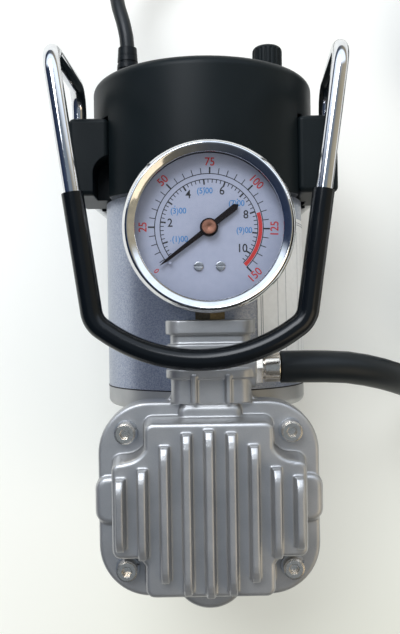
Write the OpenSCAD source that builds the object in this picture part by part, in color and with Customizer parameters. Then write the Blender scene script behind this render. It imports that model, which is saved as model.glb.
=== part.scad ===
// Portable tire inflator: a 12 V motor drives a single-cylinder compressor directly.
// Millimetres, +Z up. The cylinder head is at the front (-Y), the motor's end cap at the rear (+Y).
// The origin is on the floor, under the middle of the body.

/* [Motor] */
// Height of the motor's axis above the floor
axis_h = 50; // [48:0.5:56]
// Outer diameter of the steel can
can_d = 79; // [77:0.5:80]
// Wall of the steel can
can_wall = 1.8; // [1.2:0.1:2.4]
// Length of the steel can
can_len = 72; // [68:1:90]
// Outer diameter of the plastic end cap
cap_d = 88; // [86:0.5:91]
// Length of the plastic end cap
cap_len = 47; // [44:1:60]
// Wall of the plastic end cap
cap_wall = 2.4; // [1.8:0.1:3.2]
// Edge radius at the end cap's rear
cap_round = 3.5; // [2:0.5:5]
// Diameter of the motor shaft
shaft_d = 8; // [6:0.5:10]
// Radial thickness of a magnet
magnet_t = 6; // [4:0.5:8]
// Air gap between the magnets and the armature
air_gap = 0.8; // [0.5:0.1:1.5]
// Length of the armature's laminated core
core_len = 30; // [24:1:32]
// Outside diameter of the shaft bearings
bearing_d = 22; // [19:0.5:24]
// Width of the shaft bearings
bearing_w = 7; // [5:0.5:8]
// Diameter of the cooling fan
fan_d = 56; // [44:1:58]

/* [Compressor] */
// Bore of the cylinder
bore_d = 36; // [32:0.5:36]
// Stroke of the piston
stroke = 18; // [12:1:18]
// Wall of the steel cylinder sleeve
sleeve_wall = 2; // [1.5:0.1:2.4]
// Distance from the can's front seam to the cylinder's axis
cyl_off = 34.7; // [34:0.5:40]
// Outer diameter of the crankcase barrel
case_d = 60; // [58:1:64]
// Diameter of the space that the crank turns in
crank_room_d = 47; // [46:0.5:49]
// Thickness of the crankcase's front cover
cover_t = 4; // [3:0.5:5]
// Diameter of the crank web
web_d = 32; // [30:0.5:32.5]
// Thickness of the crank web
web_t = 9; // [7:0.5:9.5]
// Outside diameter of the bearing in the connecting rod
rod_bearing_d = 19; // [16:0.5:20]
// Thickness of the connecting rod
rod_t = 8; // [6:0.5:9]
// Space left over the piston at the top of its stroke
top_space = 1.2; // [1:0.1:2]

/* [Cylinder head] */
// Width of the head's flange, side to side
head_w = 75; // [72:1:80]
// Length of the head's flange, front to rear
head_l = 64.5; // [63:0.5:68]
// Corner radius of the head's flange
head_r = 17.5; // [14:0.5:20]
// Thickness of the head's flange
head_t = 8; // [7:0.5:9]
// Height of the flange's top face above the motor's axis
head_top = 52.6; // [52:0.1:54]
// Side-to-side spacing of the head bolts
bolt_x = 55.5; // [54:0.5:57]
// Front-to-rear spacing of the head bolts
bolt_y = 45.5; // [44:0.5:47]
// Diameter of the head bolts
bolt_d = 4; // [3:0.5:4]
// Height of the raised block above the flange
block_h = 12; // [11:0.2:15]
// Width of the block's front-to-rear bar
block_bar_w = 43.4; // [40:0.2:44]
// Length of the block's side-to-side bar
block_bar_l = 32.6; // [30:0.2:34]
// Spacing of the cooling fins
fin_pitch = 7.15; // [6.8:0.05:7.3]
// Height of the cooling fins
fin_h = 5.6; // [3:0.2:6.4]
// Width of a fin at its crest
fin_crest = 2.3; // [1.6:0.1:2.6]
// How far the front boss stands out of the flange
front_boss_out = 4.4; // [3:0.2:6]
// Width of the neck that runs back to the gauge
neck_w = 27; // [25:0.5:30]
// Height of the neck
neck_h = 13; // [12.5:0.5:14]

/* [Gauge] */
// How far the bezel stands out past the gauge's case
bezel_over = 2.1; // [1.6:0.1:3]
// Width of the bezel's ring, seen from the front
bezel_w = 4.1; // [3.4:0.1:5]
// Outer diameter of the gauge's case
gauge_d = 52; // [51:0.5:53]
// Depth of the gauge from its back to the bezel's face
gauge_depth = 21.9; // [20:0.1:22]
// Height of the bezel's face above the motor's axis
gauge_top = 66.7; // [66.6:0.1:68]
// Length of the brass stem between the neck and the gauge
stem_len = 4.3; // [3.5:0.1:6]
// Length of the pointer from its pivot to its tip
pointer_len = 20.5; // [16:0.5:21]
// Angle through which the pointer turns from its stop to full scale
pointer_sweep = 262; // [200:1:265]

/* [Handle] */
// Diameter of the chrome wire
wire_d = 5.5; // [4.5:0.25:5.5]
// Outer diameter of the vinyl grip
grip_d = 7.1; // [6.6:0.1:8]
// Height of the handle's wire above the motor's axis
handle_z = 67; // [67:0.25:70]
// Half of the distance between the side bars where the wire turns across the front
handle_front_x = 34; // [33.5:0.1:36]
// Half of the distance between the side bars at their rear ends
handle_rear_x = 46.8; // [46:0.1:47.5]
// Distance from the can's front seam forward to the handle's front corners
handle_front = -25.2; // [-26:0.2:-25]
// Distance from the can's front seam back to the handle's rear legs
handle_rear = 114; // [112:0.2:116]
// How far the handle leans over to the left at its top
handle_lean = 2.2; // [0:0.1:3]
// Radius of the handle's arched front
handle_arch_r = 52; // [48:1:55]
// Half of the distance between the two flat seats of the handle clamps
clamp_seat_x = 35.4; // [35:0.1:36]
// Thickness of a handle clamp, side to side
clamp_w = 15; // [14.6:0.2:16]
// Length of a handle clamp, front to rear
clamp_len = 29; // [28:0.5:30]
// Height of a handle clamp
clamp_h = 36; // [35:0.5:37]
// Height of a clamp's middle above the motor's axis
clamp_mid = 9; // [8.5:0.25:10]

/* [Controls and hose] */
// Width of the rocker switch
rocker_w = 13; // [11:0.5:15]
// Height of the rocker switch
rocker_h = 19; // [17:0.5:21]
// Angle through which the rocker tips
rocker_tilt = 22; // [14:1:24]
// Diameter of the fluted fuse cap
fuse_cap_d = 11.5; // [10:0.5:13]
// How far the fuse cap stands out of the end cap
fuse_out = 12; // [9:0.5:14]
// Diameter of the air hose
hose_d = 11; // [10:0.5:11]
// Diameter of the ferrule that the hose leaves
ferrule_d = 10; // [9:0.5:11]
// Distance from the neck's middle to the end of the hose ferrule
ferrule_reach = 25; // [24:0.5:27]
// Diameter of the power cord
cord_d = 6; // [5:0.5:6]
// Length of the strain relief on the power cord
gland_len = 21; // [18:1:21]
// Diameter of the accessory plug's barrel
plug_d = 20.6; // [20:0.2:21]
// Length of the accessory plug
plug_len = 64; // [56:1:70]
// How far the plug's centre tip travels
tip_travel = 3; // [2:0.5:3.5]
// Diameter of the tyre chuck's body
chuck_d = 12; // [11:0.5:12]
// Length of the tyre chuck's body
chuck_len = 42; // [36:1:50]

/* [Fits] */
// Radial clearance of a turning or sliding fit
run_fit = 0.05; // [0.02:0.01:0.08]
// Clearance between pieces that stay still
still_fit = 0.1; // [0.05:0.05:0.15]
// Gap between pieces that pass each other
pass_gap = 0.3; // [0.3:0.05:0.4]

/* [Hidden] */
$fn = 64;

// Places along Y: everything is set out from the can's front seam
front_reach = cyl_off + head_l / 2 + front_boss_out;
rear_reach = can_len + cap_len + fuse_out;
seam_y = (front_reach - rear_reach) / 2;
cap_y = seam_y + can_len;
cap_rear_y = cap_y + cap_len;
cyl_y = seam_y - cyl_off;

// Crankcase
bell_len = 7.5;
tower_r = bore_d / 2 + sleeve_wall + 3;
case_front_y = cyl_y - tower_r - 0.5;
web_front_y = cyl_y + rod_t / 2 + 1.5;
web_rear_y = web_front_y + web_t;
room_rear_y = web_rear_y + 0.8;
front_bearing_y = room_rear_y + 2.5;
crank_r = stroke / 2;
shaft_in_web = 6;

// Heights of the stack under the head, from the top down
head_bottom = axis_h + head_top - head_t;
gasket_t = 0.8;
plate_t = 2;
deck_z = head_bottom - gasket_t - plate_t;
deck_t = 8;
deck_w = head_w - 3;
deck_l = head_l - 3;
deck_r = head_r - 1.5;

// Piston and rod, drawn at the bottom of the stroke
cup_t = 1.2;
retainer_t = 2;
crown_t = 2.4;
piston_top = deck_z - top_space - stroke;
crown_z = piston_top - retainer_t - cup_t - crown_t;
pin_z = axis_h - crank_r;
sleeve_z = axis_h + web_d / 2 + 1.5;

// Motor
can_ir = can_d / 2 - can_wall;
magnet_ir = can_ir - still_fit - magnet_t;
core_d = 2 * (magnet_ir - air_gap);
core_y = seam_y + 10;
comm_y = core_y + core_len + 8;
comm_d = 24;
comm_len = 12;
end_plate_t = 4;
end_plate_y = cap_y - end_plate_t;
rear_bearing_y = end_plate_y + 1.5;
cap_opening_d = 60;
cap_front_wall = 3;
fan_y = rear_bearing_y + bearing_w + 2.5;
fan_len = 9;
shaft_rear_y = fan_y + fan_len + 1;
magnet_y = core_y - 2;
magnet_len = core_len + 4;

// Head
block_w = 64.8;
block_l = 57.2;
bolt_relief_r = 7.2;
chamber_h = 12;
chamber_w = block_bar_w - 8;
chamber_l = block_l / 2 - 5.85;
neck_x = 1.2;
neck_front_y = cyl_y + head_l / 2 - 0.7;
neck_rear_y = seam_y + 25.5;
neck_z = head_top - 2.6;
fin_lengths = [52.8, 50.7, 42.9, 28.3, 22.5];
fin_foot = fin_crest + 0.8;
fin_corner = 0.9;
boss_w = 21.4;
fitting_y = seam_y + 9.1;
fitting_seat_x = neck_x + neck_w / 2 + 1.7;

// Gauge
gauge_x = neck_x;
bezel_d = gauge_d + 2 * bezel_over;
gauge_y = neck_rear_y + stem_len + gauge_d / 2;
gauge_top_z = axis_h + gauge_top;
gauge_back_z = gauge_top_z - gauge_depth;
case_wall = 1.2;
lens_t = 1.5;
lens_z = gauge_top_z - 4.1;
dial_t = 0.6;
dial_z = gauge_top_z - 8.7;
bezel_foot_z = gauge_top_z - 8.2;
dial_r = gauge_d / 2 - case_wall - still_fit;
pointer_z = dial_z + dial_t + 1.2;
pointer_rest = 217;
scale_r = 18;

// Handle
handle_front_y = seam_y - handle_front;
handle_rear_y = seam_y + handle_rear;
clamp_y = cap_y + 0.6;
clamp_boss = 4.8;
clamp_screw_y = [16, 24];
wire_low_z = 18;
lean_from_z = axis_h + wire_low_z + 6;
wire_seat_x = handle_rear_x + 0.7;
sleeve_od = 9.5;
cross_z = sleeve_od / 2 - axis_h;
cross_x = 32;
cross_y = cap_y - sleeve_od / 2 - 1.25;
grip_end_y = seam_y + 66.5;

// Rear face
rocker_z = 8;
fuse_x = 25.5;
fuse_z = 15;
gland_x = -31;
gland_z = -8;
gland_end_y = cap_rear_y + gland_len;
post_r = 33;

// Route of the power cord on the way to its coil, from the strain relief's end
cord_route = [
    [gland_x, gland_end_y, axis_h + gland_z], [-31.4, 115.2, 41.9], [-32.9, 122.4, 40.8],
    [-34.8, 129.1, 38.7], [-36, 135.2, 36], [-36.3, 142.2, 32.4], [-34.6, 149, 28.3],
    [-31, 155.1, 23.9], [-25.8, 159.8, 19.5], [-19.4, 162.8, 15.2], [-12.5, 163.8, 11.3],
    [-0.5, 163.8, 6], [13.5, 163.8, 3.2], [29.5, 163.8, 3.2]
];
// Coil of the power cord: turns, layers, radii and place
cord_turns = 12;
cord_layers = 4;
cord_pitch = 6.6;
cord_layer_h = 6.6;
cord_coil_r = 44.5;
cord_start = [145, 163.8, 3.2];
cord_coil_at = [cord_start.x, cord_start.y - cord_coil_r, cord_start.z];
// Route of the power cord from its coil to the plug
cord_tail = [
    [160, 163.8, 23], [172, 163.8, 22.1], [184, 163.8, 20.2], [195, 163.8, 17.9],
    [203.9, 162.2, 15.9], [211.7, 157.7, 14.1], [217.5, 150.8, 12.7], [220.4, 143.2, 11.8]
];
plug_at = [221, 130.8, 11.6];
plug_turn = -90;

// Route of the air hose on the way to its coil, from the ferrule's end
hose_route = [
    [ferrule_reach, fitting_y, axis_h + neck_z], [33, -20.7, 100], [48.1, -21.4, 97.8],
    [61.8, -24.3, 91.5], [72.8, -28.1, 81.6], [80.6, -31.2, 68.8], [85, -33, 53.1],
    [89.3, -34.7, 37.4], [97.1, -37.8, 24.6], [107.9, -42.2, 14.7], [120.9, -47.4, 8.4]
];
// Coil of the air hose
hose_turns = 2.5;
hose_layers = 2;
hose_pitch = 12;
hose_layer_h = 12;
hose_coil_r = 63;
hose_start = [145, -57, 6.2];
hose_start_turn = 248;
hose_coil_at = hose_start - hose_coil_r * [cos(hose_start_turn), sin(hose_start_turn), 0];
// Route of the air hose from its coil to the chuck
hose_tail = [
    [171.4, 66.8, 19.3], [160.4, 67.3, 21.9], [149.6, 65.3, 25.1], [138.7, 60.4, 28.3],
    [129.3, 52.9, 30.1], [122.1, 43.4, 30.2], [117.5, 32.4, 30.2]
];
chuck_at = [115.3, 9.5, 30.2];
chuck_turn = 268;
lever_h = 3.2;
mouth_len = 7.5;
seal_d = 7;
seal_len = 5;

// ---- Shapes used by several parts ----

// A child drawn along +Z comes out along +Y, at a height given from the motor's axis
module along_y(y, x = 0, z = 0) {
    translate([x, y, axis_h + z]) rotate([-90, 0, 0]) children();
}

// A child drawn along +Z comes out along +X
module along_x(x, y, z) {
    translate([x, y, z]) rotate([0, 90, 0]) children();
}

module ring(od, id, len) {
    difference() {
        cylinder(d = od, h = len);
        translate([0, 0, -1]) cylinder(d = id, h = len + 2);
    }
}

// A disc whose far edge is rounded
module round_disc(r, len, edge) {
    rotate_extrude() {
        square([r, len - edge]);
        square([r - edge, len]);
        translate([r - edge, len - edge]) circle(edge, $fn = 40);
    }
}

module round_rect(w, l, r) {
    square([w, l - 2 * r], center = true);
    square([w - 2 * r, l], center = true);
    for (x = [-1, 1], y = [-1, 1]) {
        translate([x * (w / 2 - r), y * (l / 2 - r)]) circle(r);
    }
}

module four_bolts() {
    for (x = [-1, 1], y = [-1, 1]) translate([x * bolt_x / 2, cyl_y + y * bolt_y / 2, 0]) children();
}

module both_sides() {
    children();
    mirror([1, 0, 0]) children();
}

// A screw that hangs down from the underside of its pan head, at z = 0
module pan_screw(d, len, head_d, head_h) {
    difference() {
        union() {
            translate([0, 0, -len]) cylinder(d = d, h = len);
            round_disc(head_d / 2, head_h, head_h * 0.45);
        }
        for (a = [0, 90]) rotate(a) translate([-head_d * 0.3, -0.45, head_h * 0.45]) {
            cube([head_d * 0.6, 0.9, head_h]);
        }
    }
}

// ---- Paths and swept tubes ----

function unit(v) = v / norm(v);
function across(v, t) = unit(v - (v * t) * t);
function mirrored(pts) = [for (p = pts) [-p.x, p.y, p.z]];
function turned(pts) = [for (i = [len(pts) - 1:-1:0]) pts[i]];

// Points of a bend of radius r at corner c, between the points a and b
function bend(a, c, b, r, steps) =
    let(
        u = unit(a - c),
        v = unit(b - c),
        half = acos(max(-1, min(1, u * v))) / 2,
        back = r / tan(half),
        middle = c + unit(u + v) * r / sin(half),
        from = c + u * back - middle,
        to = c + v * back - middle,
        angle = 180 - 2 * half
    )
    [for (i = [0:steps]) middle
        + (from * sin(angle * (1 - i / steps)) + to * sin(angle * i / steps)) / sin(angle)];

// A path through corners, each rounded to its own radius in its own number of steps
function rounded_path(corners, radii, steps) = [
    for (i = [0:len(corners) - 1])
        if (i == 0 || i == len(corners) - 1) corners[i]
        else each bend(corners[i - 1], corners[i], corners[i + 1], radii[i], steps[i])
];

function directions(p, closed) = let(n = len(p)) [
    for (i = [0:n - 1])
        let(
            before = closed ? p[(i + n - 1) % n] : p[max(i - 1, 0)],
            after = closed ? p[(i + 1) % n] : p[min(i + 1, n - 1)],
            here = p[i]
        )
        unit((norm(here - before) > 0 ? unit(here - before) : [0, 0, 0])
            + (norm(after - here) > 0 ? unit(after - here) : [0, 0, 0]))
];

// Carries one side direction along the path without twisting it
function carried(t, i, side) =
    i >= len(t) ? [] : let(now = across(side, t[i])) concat([now], carried(t, i + 1, now));

function ring_points(p, t, side, r, sides) = [
    for (i = [0:len(p) - 1], k = [0:sides - 1])
        p[i] + r * (side[i] * cos(360 * (k + 0.5) / sides)
            + cross(t[i], side[i]) * sin(360 * (k + 0.5) / sides))
];

function wall_faces(rings, sides, closed, base, inward) = [
    for (i = [0:rings - (closed ? 1 : 2)], k = [0:sides - 1])
        let(
            a = base + i * sides + k,
            b = base + i * sides + (k + 1) % sides,
            c = base + ((i + 1) % rings) * sides + (k + 1) % sides,
            d = base + ((i + 1) % rings) * sides + k
        )
        each (inward ? [[a, c, d], [a, b, c]] : [[a, d, c], [a, c, b]])
];

// A solid round tube along a path
module tube(p, r, sides, first_side = [0, 0, 1], closed = false) {
    t = directions(p, closed);
    side = carried(t, 0, first_side);
    last = (len(p) - 1) * sides;
    ends = closed ? [] : [
        [for (k = [0:sides - 1]) k],
        [for (k = [sides - 1:-1:0]) last + k]
    ];
    polyhedron(ring_points(p, t, side, r, sides),
        concat(wall_faces(len(p), sides, closed, 0, false), ends));
}

// A hollow tube along a path, open at both ends
module sleeve_tube(p, r_out, r_in, sides) {
    t = directions(p, false);
    side = carried(t, 0, [0, 0, 1]);
    n = len(p) * sides;
    last = (len(p) - 1) * sides;
    rims = [
        for (k = [0:sides - 1])
            let(j = (k + 1) % sides)
            each [
                [k, j, n + j], [k, n + j, n + k],
                [last + k, n + last + j, last + j], [last + k, n + last + k, n + last + j]
            ]
    ];
    polyhedron(
        concat(ring_points(p, t, side, r_out, sides), ring_points(p, t, side, r_in, sides)),
        concat(wall_faces(len(p), sides, false, 0, false),
            wall_faces(len(p), sides, false, n, true), rims));
}

function eased(x) = let(c = max(0, min(1, x))) c * c * (3 - 2 * c);

// A point of a wound coil after t turns: it spirals in and out and climbs where it reverses
function coil_point(t, turns, layers, r, pitch, layer_h, at, start, hand) =
    let(
        n = turns / layers,
        k = min(floor(t / n), layers - 1),
        f = t - k * n,
        radius = k % 2 == 0 ? r - f * pitch : r - (n - f) * pitch,
        climb = layers < 2 ? 0
            : [for (j = [1:layers - 1]) eased((t - j * n + 0.25) / 0.5)]
                * [for (j = [1:layers - 1]) 1],
        a = start + hand * 360 * t
    )
    at + [radius * cos(a), radius * sin(a), layer_h * climb];

function coil_path(turns, layers, r, pitch, layer_h, at, start, hand, d) =
    let(
        steps = round(turns * 24),
        p = [for (i = [0:steps]) coil_point(i / 24 * (turns * 24 / steps), turns, layers, r, pitch,
            layer_h, at, start, hand)],
        last = start + hand * 360 * turns
    )
    concat([p[0] - hand * d * [-sin(start), cos(start), 0]], p,
        [p[steps] + hand * d * [-sin(last), cos(last), 0]]);

// Short straight runs that bring a cord square to a coil, out of it, and into the piece on its end
function coil_lead(p, d) = [p[0] - d * unit(p[1] - p[0]), p[0]];
function coil_exit(p, d) = let(n = len(p) - 1) [p[n], p[n] + d * unit(p[n] - p[n - 1])];
function lead_to(at, turn, d) = [at - d * [cos(turn), sin(turn), 0], at];

// Least gap between turns that pass each other, measured on the path's points
function self_gap(p, d) =
    min([for (i = [0:len(p) - 14], j = [i + 13:len(p) - 1]) norm(p[i] - p[j])]) - d;

cord_coil_path = coil_path(cord_turns, cord_layers, cord_coil_r, cord_pitch, cord_layer_h,
    cord_coil_at, 90, -1, cord_d);
hose_coil_path = coil_path(hose_turns, hose_layers, hose_coil_r, hose_pitch, hose_layer_h,
    hose_coil_at, hose_start_turn, 1, hose_d);

// ---- Motor ----

module end_cap() color("#25272a") {
    difference() {
        union() {
            along_y(cap_y) round_disc(cap_d / 2, cap_len, cap_round);
            both_sides() cap_ledge();
        }
        both_sides() {
            clamp_notch();
            clamp_screw_places(clamp_seat_x - clamp_boss - 1) cylinder(d = 3 + 2 * still_fit, h = 10);
        }
        difference() {
            along_y(cap_y + cap_front_wall) {
                cylinder(d = cap_d - 2 * cap_wall, h = cap_len - cap_front_wall - cap_wall);
            }
            both_sides() clamp_seat_wall();
            for (z = [-1, 1]) along_y(cap_y, 0, z * post_r) cylinder(d = 10, h = cap_len);
        }
        along_y(cap_y - 1) cylinder(d = cap_opening_d, h = cap_front_wall + 2);
        for (z = [-1, 1]) {
            along_y(cap_y - 1, 0, z * post_r) cylinder(d = 4 + 2 * still_fit, h = cap_len + 2);
            along_y(cap_rear_y - 3, 0, z * post_r) cylinder(d = 8, h = 4);
        }
        translate([-rocker_w / 2 - 1, cap_rear_y - 5, axis_h + rocker_z - rocker_h / 2 - 1]) {
            cube([rocker_w + 2, 10, rocker_h + 2]);
        }
        along_y(cap_rear_y - 5, fuse_x, fuse_z) cylinder(d = 10, h = 10);
        along_y(cap_rear_y - 5, gland_x, gland_z) cylinder(d = 8, h = 10);
        for (i = [-3:3]) translate([i * 6.4 - 1.5, cap_rear_y - 5, axis_h - 27]) {
            cube([3, 10, 17 - abs(i)]);
        }
    }
}

// The stepped ledge beside each clamp's seat
module cap_ledge() {
    translate([28.6, cap_y, axis_h + 18]) cube([3.4, 26, 10.6]);
    translate([31, cap_y, axis_h + 16]) cube([clamp_seat_x - 31, 27.5, 9.6]);
}

// The room for a handle clamp in the side of the end cap
module clamp_notch() {
    translate([clamp_seat_x, cap_y - 1, axis_h + clamp_mid - clamp_h / 2 - 0.6]) {
        cube([30, clamp_len + 2.4, clamp_h + 1.2]);
    }
}

// The two screws of the right-hand clamp, each with +Z outward from x
module clamp_screw_places(x) {
    for (y = clamp_screw_y) along_x(x, clamp_y + y, axis_h + clamp_mid) children();
}

// The flat wall behind a clamp's seat, with its two screw bosses
module clamp_seat_wall() {
    translate([clamp_seat_x - cap_wall, cap_y, axis_h + clamp_mid - clamp_h / 2 - 3]) {
        cube([30, clamp_len + 4, clamp_h + 6]);
    }
    clamp_screw_places(clamp_seat_x - clamp_boss) cylinder(d = 7.6, h = clamp_boss + 1);
}

module cap_screws() color("#b8bbc0") {
    for (z = [-1, 1]) {
        along_y(cap_rear_y - 3, 0, z * post_r) pan_screw(4, cap_len - 3 + 3, 7.2, 2.6);
    }
}

module motor_can() color("#8d98ad") {
    along_y(seam_y) ring(can_d, 2 * can_ir, can_len);
}

module magnets() color("#3a3a3e") {
    for (side = [0, 180]) along_y(magnet_y) rotate(side) {
        rotate_extrude(angle = 140) translate([magnet_ir, 0]) square([magnet_t, magnet_len]);
    }
}

module motor_end_plate() color("#9a9da1") {
    difference() {
        union() {
            along_y(end_plate_y) cylinder(r = can_ir - still_fit, h = end_plate_t);
            along_y(end_plate_y) cylinder(d = bearing_d + 6, h = bearing_w + 2.5);
        }
        along_y(rear_bearing_y) cylinder(d = bearing_d + 2 * still_fit, h = 20);
        along_y(end_plate_y - 1) cylinder(d = shaft_d + 6, h = 30);
        for (z = [-1, 1]) along_y(end_plate_y - 1, 0, z * post_r) cylinder(d = 4 + 2 * still_fit, h = 10);
        for (a = [45:90:315]) along_y(end_plate_y - 1) rotate(a) translate([24, 0, 0]) {
            cylinder(d = 9, h = 10);
        }
    }
}

module shaft_bearings() color("#c4c6ca") {
    for (y = [front_bearing_y, rear_bearing_y]) {
        along_y(y) ring(bearing_d, shaft_d + 2 * run_fit, bearing_w);
    }
}

module motor_shaft() color("#c9ccd1") {
    along_y(web_rear_y - shaft_in_web) cylinder(d = shaft_d, h = shaft_rear_y - web_rear_y + shaft_in_web);
}

module armature_core() color("#8a5a38") {
    along_y(core_y) difference() {
        union() {
            cylinder(d = core_d, h = core_len);
            for (z = [-5, core_len]) translate([0, 0, z]) cylinder(d = core_d * 0.72, h = 5);
        }
        translate([0, 0, -6]) cylinder(d = shaft_d, h = core_len + 12);
        for (a = [0:30:330]) rotate(a) translate([core_d / 2 - 7, -1.25, -1]) {
            cube([8, 2.5, core_len + 2]);
        }
    }
}

module commutator() color("#b87333") {
    along_y(comm_y) difference() {
        ring(comm_d, shaft_d, comm_len);
        for (a = [15:30:345]) rotate(a) translate([comm_d / 2 - 1, -0.3, -1]) cube([2, 0.6, comm_len + 2]);
    }
}

module motor_fan() color("#3b3d40") {
    along_y(fan_y) {
        ring(16, shaft_d, fan_len);
        ring(fan_d, shaft_d, 1.6);
        for (a = [0:36:324]) rotate(a) translate([7, -0.8, 0]) cube([fan_d / 2 - 8, 1.6, fan_len]);
    }
}

module brush_holders() color("#c0904a") {
    for (side = [0, 180]) along_y(end_plate_y - 14) rotate(side) difference() {
        translate([comm_d / 2 + 1, -4.5, 3]) cube([14, 9, 11]);
        translate([comm_d / 2, -3.1, 4.9]) cube([14, 6.2, 7.2]);
    }
}

module brushes() color("#3c3c3c") {
    for (side = [0, 180]) along_y(end_plate_y - 14) rotate(side) {
        translate([comm_d / 2 + run_fit * 2, -3, 5]) cube([9, 6, 7]);
        translate([comm_d / 2 + 9 + run_fit * 2, 0, 8.5]) rotate([0, 90, 0]) cylinder(d = 4.5, h = 4.7);
    }
}

// ---- Compressor ----

module crankcase() color("#a5a6aa") {
    difference() {
        union() {
            along_y(seam_y) mirror([0, 0, 1]) round_disc(can_d / 2, bell_len, 2.5);
            along_y(seam_y) cylinder(r = can_ir - still_fit, h = 3);
            along_y(case_front_y) cylinder(d = case_d, h = seam_y - case_front_y);
            translate([0, cyl_y, axis_h]) cylinder(r = tower_r, h = deck_z - axis_h);
            translate([0, cyl_y, deck_z - deck_t]) linear_extrude(deck_t) {
                round_rect(deck_w, deck_l, deck_r);
            }
            for (i = [1, 2]) translate([0, cyl_y, deck_z - deck_t - 6.2 * i]) linear_extrude(2.6) {
                round_rect(deck_w - 4 - 2 * i, 2 * (cyl_y - case_front_y), deck_r - 2);
            }
            both_sides() front_leg();
        }
        along_y(case_front_y - 1) cylinder(d = crank_room_d, h = room_rear_y - case_front_y + 1);
        translate([0, cyl_y, sleeve_z]) cylinder(r = bore_d / 2 + sleeve_wall + still_fit, h = 60);
        translate([0, cyl_y, axis_h]) cylinder(d = bore_d + 1, h = 60);
        along_y(room_rear_y - 1) cylinder(d = shaft_d + 6, h = 60);
        along_y(front_bearing_y) cylinder(d = bearing_d + 2 * still_fit, h = 60);
        along_y(front_bearing_y + bearing_w + 1.5) cylinder(d = bearing_d + 10, h = 60);
        along_y(seam_y - 3) cylinder(r = can_ir - 4, h = 10);
        translate([0, 0, deck_z - 11]) four_bolts() cylinder(d = bolt_d + 2 * still_fit, h = 12);
        cover_screw_places() translate([0, 0, -1]) cylinder(d = 3 + 2 * still_fit, h = 11);
    }
}

// Four places round the front cover, each with +Z into the crankcase
module cover_screw_places() {
    along_y(case_front_y) for (a = [45:90:315]) rotate(a) {
        translate([(case_d + crank_room_d) / 4, 0, 0]) children();
    }
}

// A cast leg that ends in a spigot for its rubber foot
module front_leg() {
    translate([24, cyl_y, 0]) {
        translate([0, 0, 7]) cylinder(d = 16, h = 3.5);
        translate([0, 0, 3]) cylinder(d = 6, h = 5);
        translate([-5, -8, 8]) cube([10, 16, axis_h - 30]);
        translate([-5, -2, 8]) cube([10, 4, axis_h - 22]);
    }
}

module crankcase_cover() color("#a5a6aa") {
    difference() {
        union() {
            along_y(case_front_y) mirror([0, 0, 1]) round_disc(case_d / 2, cover_t, 1.5);
            along_y(case_front_y) cylinder(d = crank_room_d - 2 * still_fit, h = 2);
        }
        along_y(case_front_y - cover_t - 1) cylinder(d = 26, h = 2.5);
        cover_screw_places() translate([0, 0, -cover_t - 1]) cylinder(d = 3 + 2 * still_fit, h = 10);
    }
}

module cover_screws() color("#c6c8cc") {
    cover_screw_places() translate([0, 0, -cover_t]) mirror([0, 0, 1]) pan_screw(3, cover_t + 8, 5.6, 2.2);
}

// The counterweight stands opposite the crank pin, which is at the bottom at rest
module crank_web() color("#77787c") {
    along_y(web_front_y) difference() {
        cylinder(d = web_d, h = web_t);
        for (x = [-1, 1]) translate([x * web_d * 0.52, web_d * 0.26, -1]) {
            cylinder(r = web_d * 0.2, h = web_t + 2);
        }
        translate([0, 0, web_t - shaft_in_web]) cylinder(d = shaft_d, h = web_t);
    }
    along_y(web_rear_y - 0.5) ring(shaft_d + 5, shaft_d, 0.9);
}

module connecting_rod() color("#b4b6ba") {
    difference() {
        union() {
            along_y(cyl_y - rod_t / 2, 0, -crank_r) cylinder(d = rod_bearing_d + 6, h = rod_t);
            translate([-6, cyl_y - rod_t / 2 + 1, pin_z + rod_bearing_d / 2]) {
                cube([12, rod_t - 2, crown_z - pin_z - rod_bearing_d / 2 + 0.5]);
            }
            translate([0, cyl_y, crown_z]) cylinder(d = bore_d - 1, h = crown_t);
        }
        along_y(cyl_y - rod_t / 2 - 1, 0, -crank_r) cylinder(d = rod_bearing_d + 2 * still_fit, h = rod_t + 2);
        translate([0, cyl_y, crown_z - 8]) cylinder(d = 3.2, h = 20);
    }
}

module rod_bearing() color("#c4c6ca") {
    along_y(cyl_y - rod_t / 2 + 1, 0, -crank_r) ring(rod_bearing_d, 8 + 2 * still_fit, rod_t - 2);
}

// A shoulder pin: its rear end stops just short of the turning web
module crank_pin() color("#8b8d92") {
    pin_front_y = cyl_y - rod_t / 2 - 3.4;
    along_y(pin_front_y, 0, -crank_r) {
        difference() {
            cylinder(d = 12, h = 3);
            translate([0, 0, -1]) cylinder(d = 5, h = 2.6, $fn = 6);
        }
        cylinder(d = 8, h = web_front_y - pass_gap - pin_front_y);
    }
}

module piston_cup() color("#e6e2d8") {
    translate([0, cyl_y, crown_z + crown_t]) rotate_extrude() {
        translate([1.7, 0]) square([bore_d / 2 - run_fit - 1.7, cup_t]);
        translate([bore_d / 2 - run_fit - 1, 0]) square([1, cup_t + retainer_t - 0.3]);
    }
}

module cup_retainer() color("#c9ccd1") {
    translate([0, cyl_y, crown_z + crown_t + cup_t]) {
        difference() {
            cylinder(d = bore_d - 3.4, h = retainer_t);
            translate([0, 0, 0.9]) cylinder(d1 = 3.2, d2 = 6.4, h = 1.2);
            for (a = [0, 90]) rotate(a) translate([-0.4, -2, 1.5]) cube([0.8, 4, 1]);
        }
        translate([0, 0, -cup_t - crown_t - 6]) cylinder(d = 3, h = cup_t + crown_t + 7);
    }
}

module cylinder_sleeve() color("#bfc1c5") {
    translate([0, cyl_y, sleeve_z]) ring(bore_d + 2 * sleeve_wall, bore_d, deck_z - sleeve_z);
}

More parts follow.
